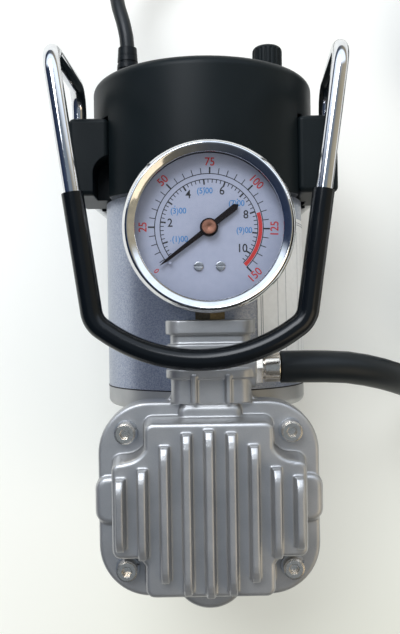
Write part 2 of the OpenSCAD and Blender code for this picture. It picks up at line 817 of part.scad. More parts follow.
module stack_plate(z, t, hole_d) {
    difference() {
        translate([0, cyl_y, z]) linear_extrude(t) round_rect(deck_w, deck_l, deck_r);
        translate([0, 0, z - 1]) four_bolts() cylinder(d = bolt_d + 2 * still_fit, h = t + 2);
        translate([0, cyl_y, z - 1]) for (y = [-1, 1]) {
            for (x = [-1, 1]) translate([x * 7, y * chamber_l / 2, 0]) cylinder(d = hole_d, h = t + 2);
        }
    }
}

module valve_plate() color("#c3c5c9") {
    difference() {
        stack_plate(deck_z, plate_t, 5);
        for (y = [-1, 1]) translate([0, cyl_y + y * chamber_l / 2, deck_z - 1]) cylinder(d = 3.2, h = 4);
    }
}

module head_gasket() color("#5a3f36") {
    difference() {
        stack_plate(deck_z + plate_t, gasket_t, 5);
        for (y = [-1, 1]) translate([-chamber_w / 2, cyl_y + y * (chamber_l / 2 + 1.5) - chamber_l / 2, deck_z]) {
            cube([chamber_w, chamber_l, 5]);
        }
    }
}

// Thin steel tongues: the rear one opens up into the head, the front one down into the cylinder
module valve_reeds() color("#9fb0c4") {
    translate([0, cyl_y, 0]) {
        translate([-11, chamber_l / 2 - 3.5, deck_z + plate_t]) cube([22, 7, 0.3]);
        translate([0, chamber_l / 2, deck_z + 0.4]) cylinder(d = 3, h = plate_t);
        translate([0, chamber_l / 2, deck_z + plate_t]) cylinder(d = 4.5, h = 0.9);
        translate([-10, -chamber_l / 2 - 3.5, deck_z - 0.3]) cube([20, 7, 0.3]);
        translate([0, -chamber_l / 2, deck_z - 0.4]) cylinder(d = 3, h = plate_t);
        translate([0, -chamber_l / 2, deck_z - 0.7]) cylinder(d = 4.5, h = 0.7);
    }
}

// Plan of the raised block: a cross with hollow corners round the bolts
module block_plan() {
    difference() {
        square([block_w, block_l], center = true);
        for (x = [-1, 1], y = [-1, 1]) {
            translate([x * bolt_x / 2, y * bolt_y / 2]) circle(bolt_relief_r, $fn = 48);
            translate([x * (block_bar_w / 2 + block_w / 2), y * (bolt_y / 2 + block_l)]) {
                square([block_w, 2 * block_l], center = true);
            }
            translate([x * (bolt_x / 2 + block_w), y * (block_bar_l / 2 + block_l / 2)]) {
                square([2 * block_w, block_l], center = true);
            }
        }
    }
}

module tapered(h, w, l, inset) {
    linear_extrude(h, scale = [1 - 2 * inset / w, 1 - 2 * inset / l], slices = 1) children();
}

module cylinder_head() color("#a8a9ad") {
    difference() {
        union() {
            translate([0, cyl_y, head_bottom]) linear_extrude(head_t - 1.2) round_rect(head_w, head_l, head_r);
            translate([0, cyl_y, head_bottom + head_t - 1.2]) tapered(1.2, head_w, head_l, 1) {
                round_rect(head_w, head_l, head_r);
            }
            head_block();
            head_bosses();
            head_neck();
        }
        translate([0, 0, head_bottom - 1]) four_bolts() cylinder(d = bolt_d + 2 * still_fit, h = 20);
        for (y = [-1, 1]) {
            translate([-chamber_w / 2, cyl_y + y * (chamber_l / 2 + 1.5) - chamber_l / 2, head_bottom - 1]) {
                cube([chamber_w, chamber_l, chamber_h + 1]);
            }
        }
        translate([-25, cyl_y, head_bottom - 5]) cube([50, head_l / 2 + 1, 5]);
        along_y(cyl_y + 8, neck_x, neck_z) cylinder(d = 6, h = neck_rear_y - cyl_y - 12);
        along_y(neck_rear_y - 8, neck_x, neck_z) cylinder(d = 8 + 2 * still_fit, h = 12);
        along_x(0, fitting_y, axis_h + neck_z) cylinder(d = 5, h = 12);
        along_x(7, fitting_y, axis_h + neck_z) cylinder(d = 8 + 2 * still_fit, h = 20);
        along_y(cyl_y - head_l / 2 - front_boss_out - 1, 0, head_top - head_t / 2 - 1) cylinder(d = 5, h = 20);
    }
}

module head_block() {
    z = axis_h + head_top;
    translate([0, cyl_y, z - 0.5]) tapered(block_h - 0.7, block_w, block_l, 0.9) block_plan();
    translate([0, cyl_y, z + block_h - 1.2]) tapered(1.2, block_w, block_l, 1.2) {
        scale([1 - 1.8 / block_w, 1 - 1.8 / block_l]) block_plan();
    }
    for (i = [-4:4]) translate([i * fin_pitch, cyl_y, z + block_h - 0.5]) {
        tapered(fin_h + 0.5, fin_foot, fin_lengths[abs(i)] - 2, (fin_foot - fin_crest) / 2) {
            round_rect(fin_foot, fin_lengths[abs(i)], fin_corner, $fn = 12);
        }
    }
}

// A round-edged boss that rises from the head's underside
module domed_boss(w, l, r, h) {
    $fn = 24;
    linear_extrude(h - 1.5) round_rect(w, l, r);
    translate([0, 0, h - 1.5]) tapered(0.8, w, l, 0.5) round_rect(w, l, r);
    translate([0, 0, h - 0.7]) tapered(0.7, w - 1, l - 1, 0.9) {
        scale([1 - 1 / w, 1 - 1 / l]) round_rect(w, l, r);
    }
}

module head_bosses() {
    for (x = [-1, 1]) translate([x * (head_w / 2 - 5), cyl_y, head_bottom]) {
        domed_boss(12.4, 16.9, 4.5, head_t + 1.6);
    }
    translate([0, cyl_y - head_l / 2, head_bottom]) domed_boss(boss_w, 2 * front_boss_out, 4, head_t - 1.6);
    translate([0, cyl_y + head_l / 2 - 3.6, head_bottom]) domed_boss(boss_w, 7.6, 3, head_t + 2.9);
}

// Section of the neck, grown by the same amount all round
module neck_plan(grow) {
    round_rect(neck_w + 2 * grow, neck_h + 2 * grow, 5 + grow);
}

module neck_bead(y, len, grow) {
    along_y(y, neck_x, neck_z) {
        linear_extrude(len / 2, scale = 1.06, slices = 1) neck_plan(grow);
        translate([0, 0, len / 2]) linear_extrude(len / 2, scale = 1 / 1.06, slices = 1) {
            scale(1.06) neck_plan(grow);
        }
    }
}

module head_neck() {
    along_y(neck_front_y, neck_x, neck_z) linear_extrude(neck_rear_y - neck_front_y) neck_plan(0);
    neck_bead(neck_rear_y - 4.7, 4.7, 0.9);
    neck_bead(neck_rear_y - 10.4, 2.4, 0.7);
    neck_bead(neck_rear_y - 19.4, 3, 0.9);
    for (x = [-1, 1]) translate([neck_x + x * 5.7 - 1, neck_front_y + 1, axis_h + neck_z + neck_h / 2 - 1]) {
        cube([2, neck_rear_y - 18 - neck_front_y, 2.2]);
    }
    for (x = [-1, 1]) neck_fillet(x);
    along_x(0, fitting_y, axis_h + neck_z) cylinder(d = 13.4, h = fitting_seat_x);
}

// The flange sweeps into the neck's side on a concave quarter round
module neck_fillet(x) {
    r = 7;
    translate([neck_x + x * neck_w / 2, cyl_y + head_l / 2, head_bottom]) linear_extrude(head_t - 1.2) difference() {
        translate([x > 0 ? -0.5 : -r, -2]) square([r + 0.5, r + 2]);
        translate([x * r, r]) circle(r);
    }
}

module head_bolts() color("#cfcac2") {
    translate([0, 0, axis_h + head_top + 1]) four_bolts() difference() {
        union() {
            rotate_extrude() {
                square([3.5, 3.6]);
                square([3.1, 4]);
            }
            translate([0, 0, -head_t - gasket_t - plate_t - 11]) {
                cylinder(d = bolt_d, h = head_t + gasket_t + plate_t + 12);
            }
        }
        translate([0, 0, 2]) cylinder(d = 3.5, h = 3, $fn = 6);
    }
}

module bolt_washers() color("#c8c8ca") {
    translate([0, 0, axis_h + head_top]) four_bolts() difference() {
        ring(8, bolt_d + 2 * still_fit, 1);
        rotate(20) translate([0, -0.35, -1]) cube([6, 0.7, 3]);
    }
}

// ---- Gauge ----

module gauge_case() color("#33353a") {
    translate([gauge_x, gauge_y, gauge_back_z]) difference() {
        cylinder(d = gauge_d, h = dial_z - gauge_back_z + 1.5);
        translate([0, 0, case_wall]) cylinder(d = gauge_d - 2 * case_wall, h = 40);
        translate([0, -gauge_d / 2 - 1, axis_h + neck_z - gauge_back_z]) rotate([-90, 0, 0]) {
            cylinder(d = 8 + 2 * still_fit, h = 8);
        }
    }
}

module gauge_bezel() color("#d8dade") {
    r = bezel_d / 2;
    translate([gauge_x, gauge_y, 0]) rotate_extrude() {
        difference() {
            union() {
                translate([gauge_d / 2 + still_fit, bezel_foot_z]) {
                    square([r - gauge_d / 2 - still_fit, gauge_top_z - bezel_foot_z - 2]);
                }
                translate([r - bezel_w, lens_z + lens_t]) {
                    square([bezel_w - 2, gauge_top_z - lens_z - lens_t - 0.6]);
                }
                translate([r - 2.1, gauge_top_z - 2.1]) circle(2.1);
            }
            translate([0, gauge_top_z - 0.6]) square([r - bezel_w + 1.2, 2]);
            translate([0, bezel_foot_z]) square([gauge_d / 2 + still_fit, lens_z + lens_t - bezel_foot_z]);
        }
    }
}

module gauge_dial() color("#e9ecf2") {
    difference() {
        union() {
            translate([gauge_x, gauge_y, dial_z]) cylinder(r = dial_r, h = dial_t);
            stop_pin();
        }
        translate([gauge_x, gauge_y, dial_z - 1]) cylinder(d = 3, h = 3);
        dial_screw_places() translate([0, 0, -1]) cylinder(d = 1.6, h = 3);
    }
}

// The pointer rests against this pin
module stop_pin() {
    translate([gauge_x, gauge_y, dial_z]) rotate(pointer_rest + 4.6) translate([17.2, 0, 0]) {
        cylinder(d = 0.9, h = 2.8);
    }
}

module dial_screw_places() {
    for (x = [-3.6, 3.6]) translate([gauge_x + x, gauge_y - 12.6, dial_z]) children();
}

module dial_screws() color("#b9bcc2") {
    dial_screw_places() difference() {
        union() {
            translate([0, 0, dial_t]) round_disc(1.6, 0.8, 0.3);
            translate([0, 0, -3]) cylinder(d = 1.4, h = 3.7);
        }
        translate([-2, -0.2, dial_t + 0.5]) cube([4, 0.4, 1]);
    }
}

module gauge_lens() color("#dfe8ec", 0.3) {
    translate([gauge_x, gauge_y, lens_z]) cylinder(d = gauge_d, h = lens_t);
    translate([gauge_x, gauge_y, dial_z + 1.5]) ring(gauge_d, gauge_d - 2 * case_wall, lens_z - dial_z - 1.5);
}

module gauge_pointer() color("#26262a") {
    translate([gauge_x, gauge_y, pointer_z]) difference() {
        union() {
            cylinder(d = 6, h = 1.2);
            cylinder(d = 4.8, h = 1.8);
            rotate(pointer_rest) {
                linear_extrude(0.7) polygon([[0, 0.9], [pointer_len - 3, 0.5], [pointer_len, 0],
                    [pointer_len - 3, -0.5], [0, -0.9], [-11, -1.1], [-12.2, 0], [-11, 1.1]]);
            }
        }
        translate([0, 0, -1]) cylinder(d = 1.6 + 2 * run_fit, h = 2.4);
    }
}

module gauge_stem() color("#a8915c") {
    along_y(neck_rear_y - 7.5, neck_x, neck_z) cylinder(d = 8, h = 7.5 + stem_len + 4.7);
    along_y(neck_rear_y + 0.1, neck_x, neck_z) rotate(30) cylinder(d = 11.5, h = stem_len - 0.6, $fn = 6);
}

module bourdon_tube() color("#b08a4a") {
    tube_r = gauge_d / 2 - 7;
    translate([gauge_x, gauge_y, axis_h + neck_z]) rotate(-86) {
        rotate_extrude(angle = 250) translate([tube_r, -3.2]) square([2, 6.4]);
    }
    translate([neck_x - 2.5, gauge_y - tube_r - 2.2, axis_h + neck_z - 3]) cube([5, 3.4, 6]);
}

module gauge_movement() color("#b99a55") {
    translate([gauge_x, gauge_y, 0]) {
        translate([-8, -6, gauge_back_z + case_wall]) cube([16, 12, 2]);
        translate([0, 0, gauge_back_z + case_wall]) cylinder(d = 5, h = dial_z - gauge_back_z - case_wall - 1);
        translate([0, 0, gauge_back_z + case_wall]) {
            cylinder(d = 1.6, h = pointer_z + 1 - gauge_back_z - case_wall);
        }
    }
}

// ---- Hose and chuck ----

module hose_fitting() color("#c9c4ba") {
    along_x(7.5, fitting_y, axis_h + neck_z) difference() {
        union() {
            cylinder(d = 8, h = ferrule_reach - 8.5);
            translate([0, 0, fitting_seat_x - 7.5]) cylinder(d = ferrule_d + 1.8, h = 2.2, $fn = 6);
            translate([0, 0, fitting_seat_x - 4.5]) {
                round_disc(ferrule_d / 2, ferrule_reach - fitting_seat_x - 3, 0.8);
            }
        }
        translate([0, 0, -1]) cylinder(d = 4, h = 10);
    }
}

module air_hose() color("#1d1f21") {
    coil = hose_coil_path;
    tube(concat(hose_route, coil_lead(coil, hose_d)), hose_d / 2, 10);
    tube(concat(coil_exit(coil, hose_d), hose_tail, lead_to(chuck_at, chuck_turn, hose_d)), hose_d / 2, 10);
}

module air_hose_coil() color("#1d1f21") {
    echo(hose_self_gap = self_gap(hose_coil_path, hose_d));
    tube(hose_coil_path, hose_d / 2, 6);
}

// The chuck is drawn along +Z from its hose end and laid down at the end of the hose
module at_chuck() {
    translate(chuck_at) rotate([0, 0, chuck_turn]) rotate([0, 90, 0]) rotate(90) children();
}

module chuck_body() color("#b9a06a") {
    at_chuck() difference() {
        union() {
            rotate_extrude() {
                square([chuck_d / 2 - 0.8, 14]);
                for (i = [0:3]) translate([0, 1.5 + i * 3]) square([chuck_d / 2, 1.6]);
                translate([0, 14]) square([chuck_d / 2 - 1.2, chuck_len - 14]);
                translate([0, chuck_len - 12]) square([chuck_d / 2, 12]);
            }
            translate([-2, chuck_d / 2 - 3, chuck_len - 9.9]) cube([4, 3 + lever_h, 4.8]);
            translate([-2, chuck_d / 2 + lever_h, chuck_len - 7.5]) rotate([0, 90, 0]) cylinder(r = 2.4, h = 4);
        }
        translate([0, 0, chuck_len - mouth_len]) cylinder(d = 8.4, h = mouth_len + 1);
        translate([0, 0, chuck_len - mouth_len - seal_len]) {
            cylinder(d = seal_d + 2 * still_fit, h = seal_len + 1);
        }
        translate([0, 0, -1]) cylinder(d = 3, h = chuck_len);
        translate([-5, chuck_d / 2 + lever_h, chuck_len - 7.5]) rotate([0, 90, 0]) {
            cylinder(d = 1.6 + 2 * run_fit, h = 10);
        }
    }
}

module chuck_seal() color("#2a2a2c") {
    at_chuck() translate([0, 0, chuck_len - mouth_len - seal_len]) ring(seal_d, 4, seal_len);
}

// Two cheeks on a cross pin, with a thumb plate that lies back along the body when locked
module chuck_lever() color("#c4a868") {
    at_chuck() translate([0, chuck_d / 2 + lever_h, chuck_len - 7.5]) {
        for (x = [-1, 1]) {
            translate([x * 3.3 - 1, 0, 0]) rotate([0, 90, 0]) cylinder(r = 2.4, h = 2);
            translate([x * 3.3 - 1, 0.4, -24]) cube([2, 3.4, 24]);
        }
        translate([-4.3, 3.2, -24]) cube([8.6, 1.6, 26]);
        translate([-3.8, 0, 0]) rotate([0, 90, 0]) cylinder(d = 1.6, h = 7.6);
    }
}

// ---- Power cord and plug ----

module power_cord() color("#1b1c1e") {
    coil = cord_coil_path;
    tube(concat(cord_route, coil_lead(coil, cord_d)), cord_d / 2, 8);
    tube(concat(coil_exit(coil, cord_d), cord_tail, lead_to(plug_at, plug_turn, cord_d)), cord_d / 2, 8);
}

module power_cord_coil() color("#1b1c1e") {
    echo(cord_self_gap = self_gap(cord_coil_path, cord_d));
    tube(cord_coil_path, cord_d / 2, 6);
}

module cord_gland() color("#202224") {
    along_y(cap_rear_y, gland_x, gland_z) {
        difference() {
            rotate_extrude() {
                square([6.2, 2.4]);
                polygon([[0, 2], [5.2, 2], [cord_d / 2 + 0.9, gland_len], [0, gland_len]]);
            }
            for (i = [0:4]) translate([0, 0, 5 + i * 3]) ring(20, cord_d + 2.2, 1.1);
        }
        translate([0, 0, -cap_wall]) cylinder(d = 8 - 2 * still_fit, h = cap_wall + 1);
        translate([0, 0, -cap_wall - 2]) cylinder(d = 9.5, h = 2);
    }
}

// The plug is drawn along +Z from its cord end and laid down at the end of the cord
module at_plug() {
    translate(plug_at) rotate([0, 0, plug_turn]) rotate([0, 90, 0]) rotate(90) children();
}

module plug_body() color("#202225") {
    collar_r = plug_d / 2 + 1.2;
    tip_r = plug_d / 2 - 3.6;
    at_plug() difference() {
        rotate_extrude() {
            polygon([[0, 0], [cord_d / 2 + 1.2, 0], [plug_d * 0.3, 14], [collar_r - 1, 18],
                [collar_r, 20], [collar_r, 26], [plug_d / 2, 28], [plug_d / 2, plug_len - 12],
                [tip_r, plug_len - 6], [tip_r, plug_len], [0, plug_len]]);
        }
        translate([0, 0, plug_len - 14]) cylinder(d = 6 + 2 * run_fit, h = 20);
        translate([0, 0, plug_len - 20]) cylinder(d = 8 + 2 * run_fit, h = 14);
        for (x = [-1, 1]) translate([x * plug_d / 2 - 1.5, -2.5, plug_len - 30]) cube([3, 5, 16]);
    }
}

module plug_tip() color("#d3d4d6") {
    at_plug() {
        translate([0, 0, plug_len - 16]) cylinder(d = 6, h = 16 + tip_travel);
        translate([0, 0, plug_len + tip_travel]) sphere(d = 6);
        translate([0, 0, plug_len - 16]) cylinder(d = 8, h = 1.6);
    }
}

module plug_contacts() color("#d3d4d6") {
    at_plug() for (x = [-1, 1]) {
        translate([x * (plug_d / 2 - 0.75) - 0.65, -2.3, plug_len - 29.8]) cube([1.3, 4.6, 15.6]);
        translate([x * (plug_d / 2 - 0.2), -2.3, plug_len - 22]) rotate([-90, 0, 0]) cylinder(d = 2.6, h = 4.6);
    }
}

// ---- Rear controls ----

module rocker_housing() color("#1c1d1f") {
    translate([0, cap_rear_y, axis_h + rocker_z]) difference() {
        union() {
            translate([-rocker_w / 2 - 2.4, 0, -rocker_h / 2 - 2.4]) cube([rocker_w + 4.8, 2.2, rocker_h + 4.8]);
            translate([-rocker_w / 2 - 0.9, -16, -rocker_h / 2 - 0.9]) cube([rocker_w + 1.8, 17, rocker_h + 1.8]);
        }
        translate([-rocker_w / 2, -9, -rocker_h / 2]) cube([rocker_w, 20, rocker_h]);
        translate([-rocker_w / 2 - 2, -2.5, 0]) rotate([0, 90, 0]) cylinder(d = 2 + 2 * run_fit, h = rocker_w + 4);
    }
}

// The rocker tips about a pin across its middle: its lower half stands out at rest
module rocker_switch() color("#a3211f") {
    translate([0, cap_rear_y - 2.5, axis_h + rocker_z]) {
        rotate([-rocker_tilt / 2, 0, 0]) rotate([90, 0, 90]) {
            translate([0, 0, -rocker_w / 2 + pass_gap]) linear_extrude(rocker_w - 2 * pass_gap) {
                intersection() {
                    translate([-2, -rocker_h]) square([9, 2 * rocker_h]);
                    circle(r = rocker_h / 2 - pass_gap);
                    polygon([[-3, -2.5], [-3, 2.5], [7, rocker_h / 2 - 0.6], [5.2, 0], [7, -rocker_h / 2 + 0.6]]);
                }
            }
        }
        translate([-rocker_w / 2 - 0.7, 0, 0]) rotate([0, 90, 0]) cylinder(d = 2, h = rocker_w + 1.4);
    }
}

module fuse_holder() color("#1c1d1f") {
    along_y(cap_rear_y, fuse_x, fuse_z) difference() {
        union() {
            translate([0, 0, -24]) cylinder(d = 9.8, h = 24.2);
            cylinder(d = 13.5, h = 1.8);
        }
        translate([0, 0, -23]) cylinder(d = 7, h = 30);
    }
}

module fuse_cap() color("#232528") {
    along_y(cap_rear_y + 1.8 + pass_gap, fuse_x, fuse_z) {
        difference() {
            round_disc(fuse_cap_d / 2, fuse_out - 1.8 - pass_gap, 2);
            for (a = [0:20:340]) rotate(a) translate([fuse_cap_d / 2 + 0.25, 0, -1]) {
                cylinder(d = 1.1, h = fuse_out - 2.6, $fn = 16);
            }
        }
        translate([0, 0, -1.8 - pass_gap - 4]) cylinder(d = 7 - 2 * run_fit, h = 7);
    }
}

module fuse() color("#c9d2d6") {
    along_y(cap_rear_y - 22.9, fuse_x, fuse_z) {
        cylinder(d = 5, h = 18.4);
        for (z = [0, 13.4]) translate([0, 0, z]) cylinder(d = 6.2, h = 5);
    }
}

// ---- Handle and feet ----

// One half of the wire, from the middle of its front to the middle of its cross run underneath
wire_corners = [
    [0, handle_front_y - handle_front_x * 0.7, handle_z + axis_h],
    [handle_front_x, handle_front_y, handle_z + axis_h],
    [handle_rear_x, handle_rear_y, handle_z + axis_h],
    [wire_seat_x, handle_rear_y, wire_low_z + axis_h],
    [wire_seat_x, clamp_y + 9, wire_low_z + axis_h],
    [wire_seat_x + 0.8, clamp_y + 5.5, axis_h - 6],
    [cross_x, cross_y, cross_z + axis_h],
    [0, cross_y, cross_z + axis_h]
];
grip_slope = (handle_rear_x - handle_front_x) / (handle_rear_y - handle_front_y);
grip_end = [handle_front_x + grip_slope * (grip_end_y - handle_front_y), grip_end_y, handle_z + axis_h];
arch = bend(mirrored([wire_corners[1]])[0], wire_corners[0], wire_corners[1], handle_arch_r, 16);
half_arch = [for (i = [8:16]) arch[i]];
wire_bends = rounded_path(concat([arch[15]], [for (i = [1:7]) wire_corners[i]]),
    [0, 8, 9, 9, 8, 10, 10, 0], [0, 6, 7, 7, 6, 4, 7, 0]);
half_wire = concat(half_arch, [for (i = [1:len(wire_bends) - 1]) wire_bends[i]]);
wire_path = leaning(concat(half_wire, [for (i = [len(half_wire) - 2:-1:1]) mirrored([half_wire[i]])[0]]));

// Points of the handle moved to the left in proportion to their height above the clamps
function leaning(p) = let(lean_h = handle_z + axis_h - lean_from_z)
    [for (q = p) q - [handle_lean * eased((q.z - lean_from_z) / lean_h), 0, 0]];

module handle_frame() color("#c9cdd4") tube(wire_path, wire_d / 2, 12, [0, 0, 1], true);

module handle_grip() color("#17181b") {
    corner = bend(arch[15], wire_corners[1], wire_corners[2], 8, 6);
    half = concat([for (i = [9:16]) arch[i]], corner, [grip_end]);
    line = leaning(concat(turned(mirrored(half)), [arch[8]], half));
    sleeve_tube(line, grip_d / 2, wire_d / 2 + still_fit, 16);
}

module clamp_block() {
    hull() for (x = [2, clamp_w - 2], y = [2, clamp_len - 2], z = [2, clamp_h - 2]) {
        translate([x, y, z]) sphere(2, $fn = 16);
    }
}

// The scoop in a clamp's inner front corner, with the pinch screw across it
module clamp_scoop() {
    translate([-1, -1, clamp_h - 13]) {
        cube([7, 9, 20]);
        translate([0, 9, 0]) cylinder(r = 7, h = 20);
    }
}

// The same moulding is turned over for the other side
module handle_clamp(turned_over) {
    translate([clamp_seat_x, clamp_y, axis_h + clamp_mid]) difference() {
        mirror([0, 0, turned_over ? 1 : 0]) translate([0, 0, -clamp_h / 2]) difference() {
            clamp_block();
            clamp_scoop();
        }
        translate([-clamp_seat_x, -clamp_y, -axis_h - clamp_mid]) {
            tube([for (i = [16:len(wire_bends) - 9]) wire_bends[i]], wire_d / 2 + 0.2, 12);
        }
        for (y = clamp_screw_y) translate([-1, y, 0]) rotate([0, 90, 0]) {
            cylinder(d = 3 + 2 * still_fit, h = 30);
            translate([0, 0, clamp_w - 2]) cylinder(d = 6.6, h = 10);
        }
    }
}

module handle_clamps() color("#1f2124") {
    handle_clamp(true);
    mirror([1, 0, 0]) handle_clamp(false);
}

module clamp_screws() color("#c6c8cc") {
    both_sides() clamp_screw_places(clamp_seat_x + clamp_w - 3) pan_screw(3, clamp_w + 1.5, 6, 2.2);
}

module foot_sleeve() color("#1a1b1d") {
    along_x(-22, cross_y, cross_z + axis_h) ring(sleeve_od, wire_d + 2 * still_fit, 44);
}

module front_feet() color("#1a1b1d") {
    both_sides() translate([24, cyl_y, 0]) difference() {
        mirror([0, 0, 1]) translate([0, 0, -7]) round_disc(9, 7, 1.5);
        translate([0, 0, 2.9]) cylinder(d = 6 + 2 * still_fit, h = 6);
    }
}

end_cap();
cap_screws();
motor_can();
magnets();
motor_end_plate();
shaft_bearings();
armature_core();
motor_shaft();
commutator();
motor_fan();
brush_holders();
brushes();
crankcase();
crankcase_cover();
cover_screws();
crank_web();
connecting_rod();
rod_bearing();
crank_pin();
piston_cup();
cup_retainer();
cylinder_sleeve();
head_gasket();
valve_plate();
valve_reeds();
cylinder_head();
head_bolts();
bolt_washers();
gauge_case();
gauge_bezel();
gauge_dial();
gauge_lens();
gauge_pointer();
gauge_stem();
bourdon_tube();
gauge_movement();
dial_screws();
hose_fitting();
air_hose();
air_hose_coil();
chuck_body();
chuck_lever();
chuck_seal();
power_cord();
power_cord_coil();
cord_gland();
plug_body();
plug_tip();
plug_contacts();
rocker_housing();
rocker_switch();
fuse_holder();
fuse_cap();
fuse();
handle_frame();
handle_grip();
handle_clamps();
clamp_screws();
foot_sleeve();
front_feet();
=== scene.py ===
import math

import bpy
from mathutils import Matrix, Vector


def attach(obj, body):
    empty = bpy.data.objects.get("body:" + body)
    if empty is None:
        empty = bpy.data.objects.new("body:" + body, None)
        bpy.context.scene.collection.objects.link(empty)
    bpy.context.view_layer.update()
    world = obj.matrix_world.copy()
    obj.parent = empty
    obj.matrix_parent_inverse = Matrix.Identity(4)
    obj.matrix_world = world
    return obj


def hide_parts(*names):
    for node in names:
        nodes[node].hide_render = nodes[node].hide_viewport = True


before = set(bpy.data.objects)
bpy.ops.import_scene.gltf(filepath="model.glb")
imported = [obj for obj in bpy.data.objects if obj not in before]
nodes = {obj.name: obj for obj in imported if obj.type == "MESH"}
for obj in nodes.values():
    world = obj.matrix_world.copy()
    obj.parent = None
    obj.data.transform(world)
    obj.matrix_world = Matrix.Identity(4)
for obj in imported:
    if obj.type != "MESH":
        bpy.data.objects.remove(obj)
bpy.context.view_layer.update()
mm = 0.001
motorAxis = 50  # mm above the table
print("frame loaded:", len(nodes), "nodes")


def addObject(name, data):
    piece = bpy.data.objects.new(name, data)
    bpy.context.scene.collection.objects.link(piece)
    return piece


# the camera looks straight down on the body
view = {
    "place": (-2.2, -3.3, 345.6),  # mm
    "roll": -0.9,  # degrees
    "lens": 64.8,
    "sensor": 36.0,
    "clip": (0.01, 20),  # m
}

camera = addObject("camera", bpy.data.cameras.new("camera"))
camera.location = [v * mm for v in view["place"]]
camera.rotation_euler = (0, 0, math.radians(view["roll"]))
camera.data.sensor_fit = "HORIZONTAL"
camera.data.sensor_width = view["sensor"]
camera.data.lens = view["lens"]
camera.data.clip_start, camera.data.clip_end = view["clip"]
bpy.context.scene.camera = camera
bpy.context.scene.view_settings.view_transform = "Standard"
print("camera placed")


def hexColor(code):
    channels = [int(code[i : i + 2], 16) / 255 for i in (1, 3, 5)]
    linear = [c / 12.92 if c <= 0.04045 else ((c + 0.055) / 1.055) ** 2.4 for c in channels]
    return (*linear, 1.0)


# a colour made darker or lighter
def tinted(code, factor, lift=0.0):
    return (*[min(1, c * factor + lift) for c in hexColor(code)[:3]], 1.0)


# adds one node: sockets are linked to its inputs, other values set its inputs or properties
def addNode(tree, kind, settings=()):
    node = tree.nodes.new("ShaderNode" + kind)
    for name, value in dict(settings).items():
        if isinstance(value, bpy.types.NodeSocket):
            tree.links.new(value, node.inputs[name])
        elif name == "stops":
            for stop, (position, color) in zip(node.color_ramp.elements, value):
                stop.position, stop.color = position, color
        elif isinstance(name, int) or name in node.inputs:
            node.inputs[name].default_value = value
        else:
            setattr(node, name, value)
    return node


def setMode(mode):
    bpy.ops.object.mode_set(mode=mode)


def deselectAll():
    if bpy.context.object and bpy.context.object.mode != "OBJECT":
        setMode("OBJECT")
    bpy.ops.object.select_all(action="DESELECT")


def activate(piece):
    deselectAll()
    piece.select_set(True)
    bpy.context.view_layer.objects.active = piece


def applyModifier(piece, kind, **settings):
    modifier = piece.modifiers.new(kind.title(), kind)
    for name, value in settings.items():
        setattr(modifier, name, value)
    activate(piece)
    bpy.ops.object.modifier_apply(modifier=modifier.name)


def applyPlace(piece):
    activate(piece)
    bpy.ops.object.transform_apply(location=True, rotation=True, scale=True)


def namePiece(piece, name):
    applyPlace(piece)
    piece.name = name
    piece.data.name = name
    return piece


def smoothFaces(piece, degrees=35):
    activate(piece)
    bpy.ops.object.shade_smooth_by_angle(angle=math.radians(degrees))


def joinPieces(parts):
    deselectAll()
    for part in parts:
        part.select_set(True)
    bpy.context.view_layer.objects.active = parts[0]
    bpy.ops.object.join()
    return bpy.context.object


# bevels the edges between the points a and b for which the test holds
def roundEdges(piece, width, segments, test):
    bpy.context.tool_settings.mesh_select_mode = (False, True, False)
    for face in piece.data.polygons:
        face.select = False
    for edge in piece.data.edges:
        edge.select = test(*(piece.data.vertices[i].co for i in edge.vertices))
    activate(piece)
    setMode("EDIT")
    bpy.ops.mesh.bevel(offset=width * mm, segments=segments, affect="EDGES")
    setMode("OBJECT")


# a box in mm with rounded upright edges and top rim, narrowed towards the top by the taper
def addSlab(size, at, corner=0.0, taper=0.0, segments=8, rim=0.0):
    deselectAll()
    bpy.ops.mesh.primitive_cube_add(size=1, location=[v * mm for v in at])
    slab = bpy.context.object
    slab.scale = [v * mm for v in size]
    applyPlace(slab)
    if taper:
        for vertex in slab.data.vertices:
            if vertex.co.z > at[2] * mm:
                vertex.co.x -= math.copysign(taper * mm, vertex.co.x - at[0] * mm)
                vertex.co.y -= math.copysign(taper * mm, vertex.co.y - at[1] * mm)
    if corner:
        roundEdges(slab, corner, segments, lambda a, b: abs(a.z - b.z) > size[2] * mm * 0.9)
    if rim:
        roundEdges(slab, rim, 4, lambda a, b: min(a.z, b.z) > (at[2] + size[2] * 0.49) * mm)
    return slab


# a round bar or cone in mm along one axis
def addDrum(radius, depth, at, vertices, axis="Z", tip=None):
    deselectAll()
    turn = {"X": (0, math.pi / 2, 0), "Y": (-math.pi / 2, 0, 0), "Z": (0, 0, 0)}[axis]
    bpy.ops.mesh.primitive_cone_add(
        vertices=vertices, radius1=radius * mm, radius2=(radius if tip is None else tip) * mm,
        depth=depth * mm, location=[v * mm for v in at], rotation=turn)
    drum = bpy.context.object
    applyPlace(drum)
    return drum


def cutWith(piece, cutter):
    applyModifier(piece, "BOOLEAN", operation="DIFFERENCE", solver="EXACT", object=cutter)
    bpy.data.objects.remove(cutter)


# a closed profile of (radius, height) in mm, turned about the upright axis through a place
def turnProfile(profile, at, steps):
    mesh = bpy.data.meshes.new("profile")
    count = len(profile)
    mesh.from_pydata([(r * mm, 0, z * mm) for r, z in profile],
                     [(i, (i + 1) % count) for i in range(count)], [])
    piece = addObject("profile", mesh)
    applyModifier(piece, "SCREW", angle=math.tau, steps=steps, render_steps=steps,
                  use_merge_vertices=True, merge_threshold=0.00001, axis="Z")
    piece.location = [v * mm for v in at]
    applyPlace(piece)
    closeMesh(piece)
    return piece


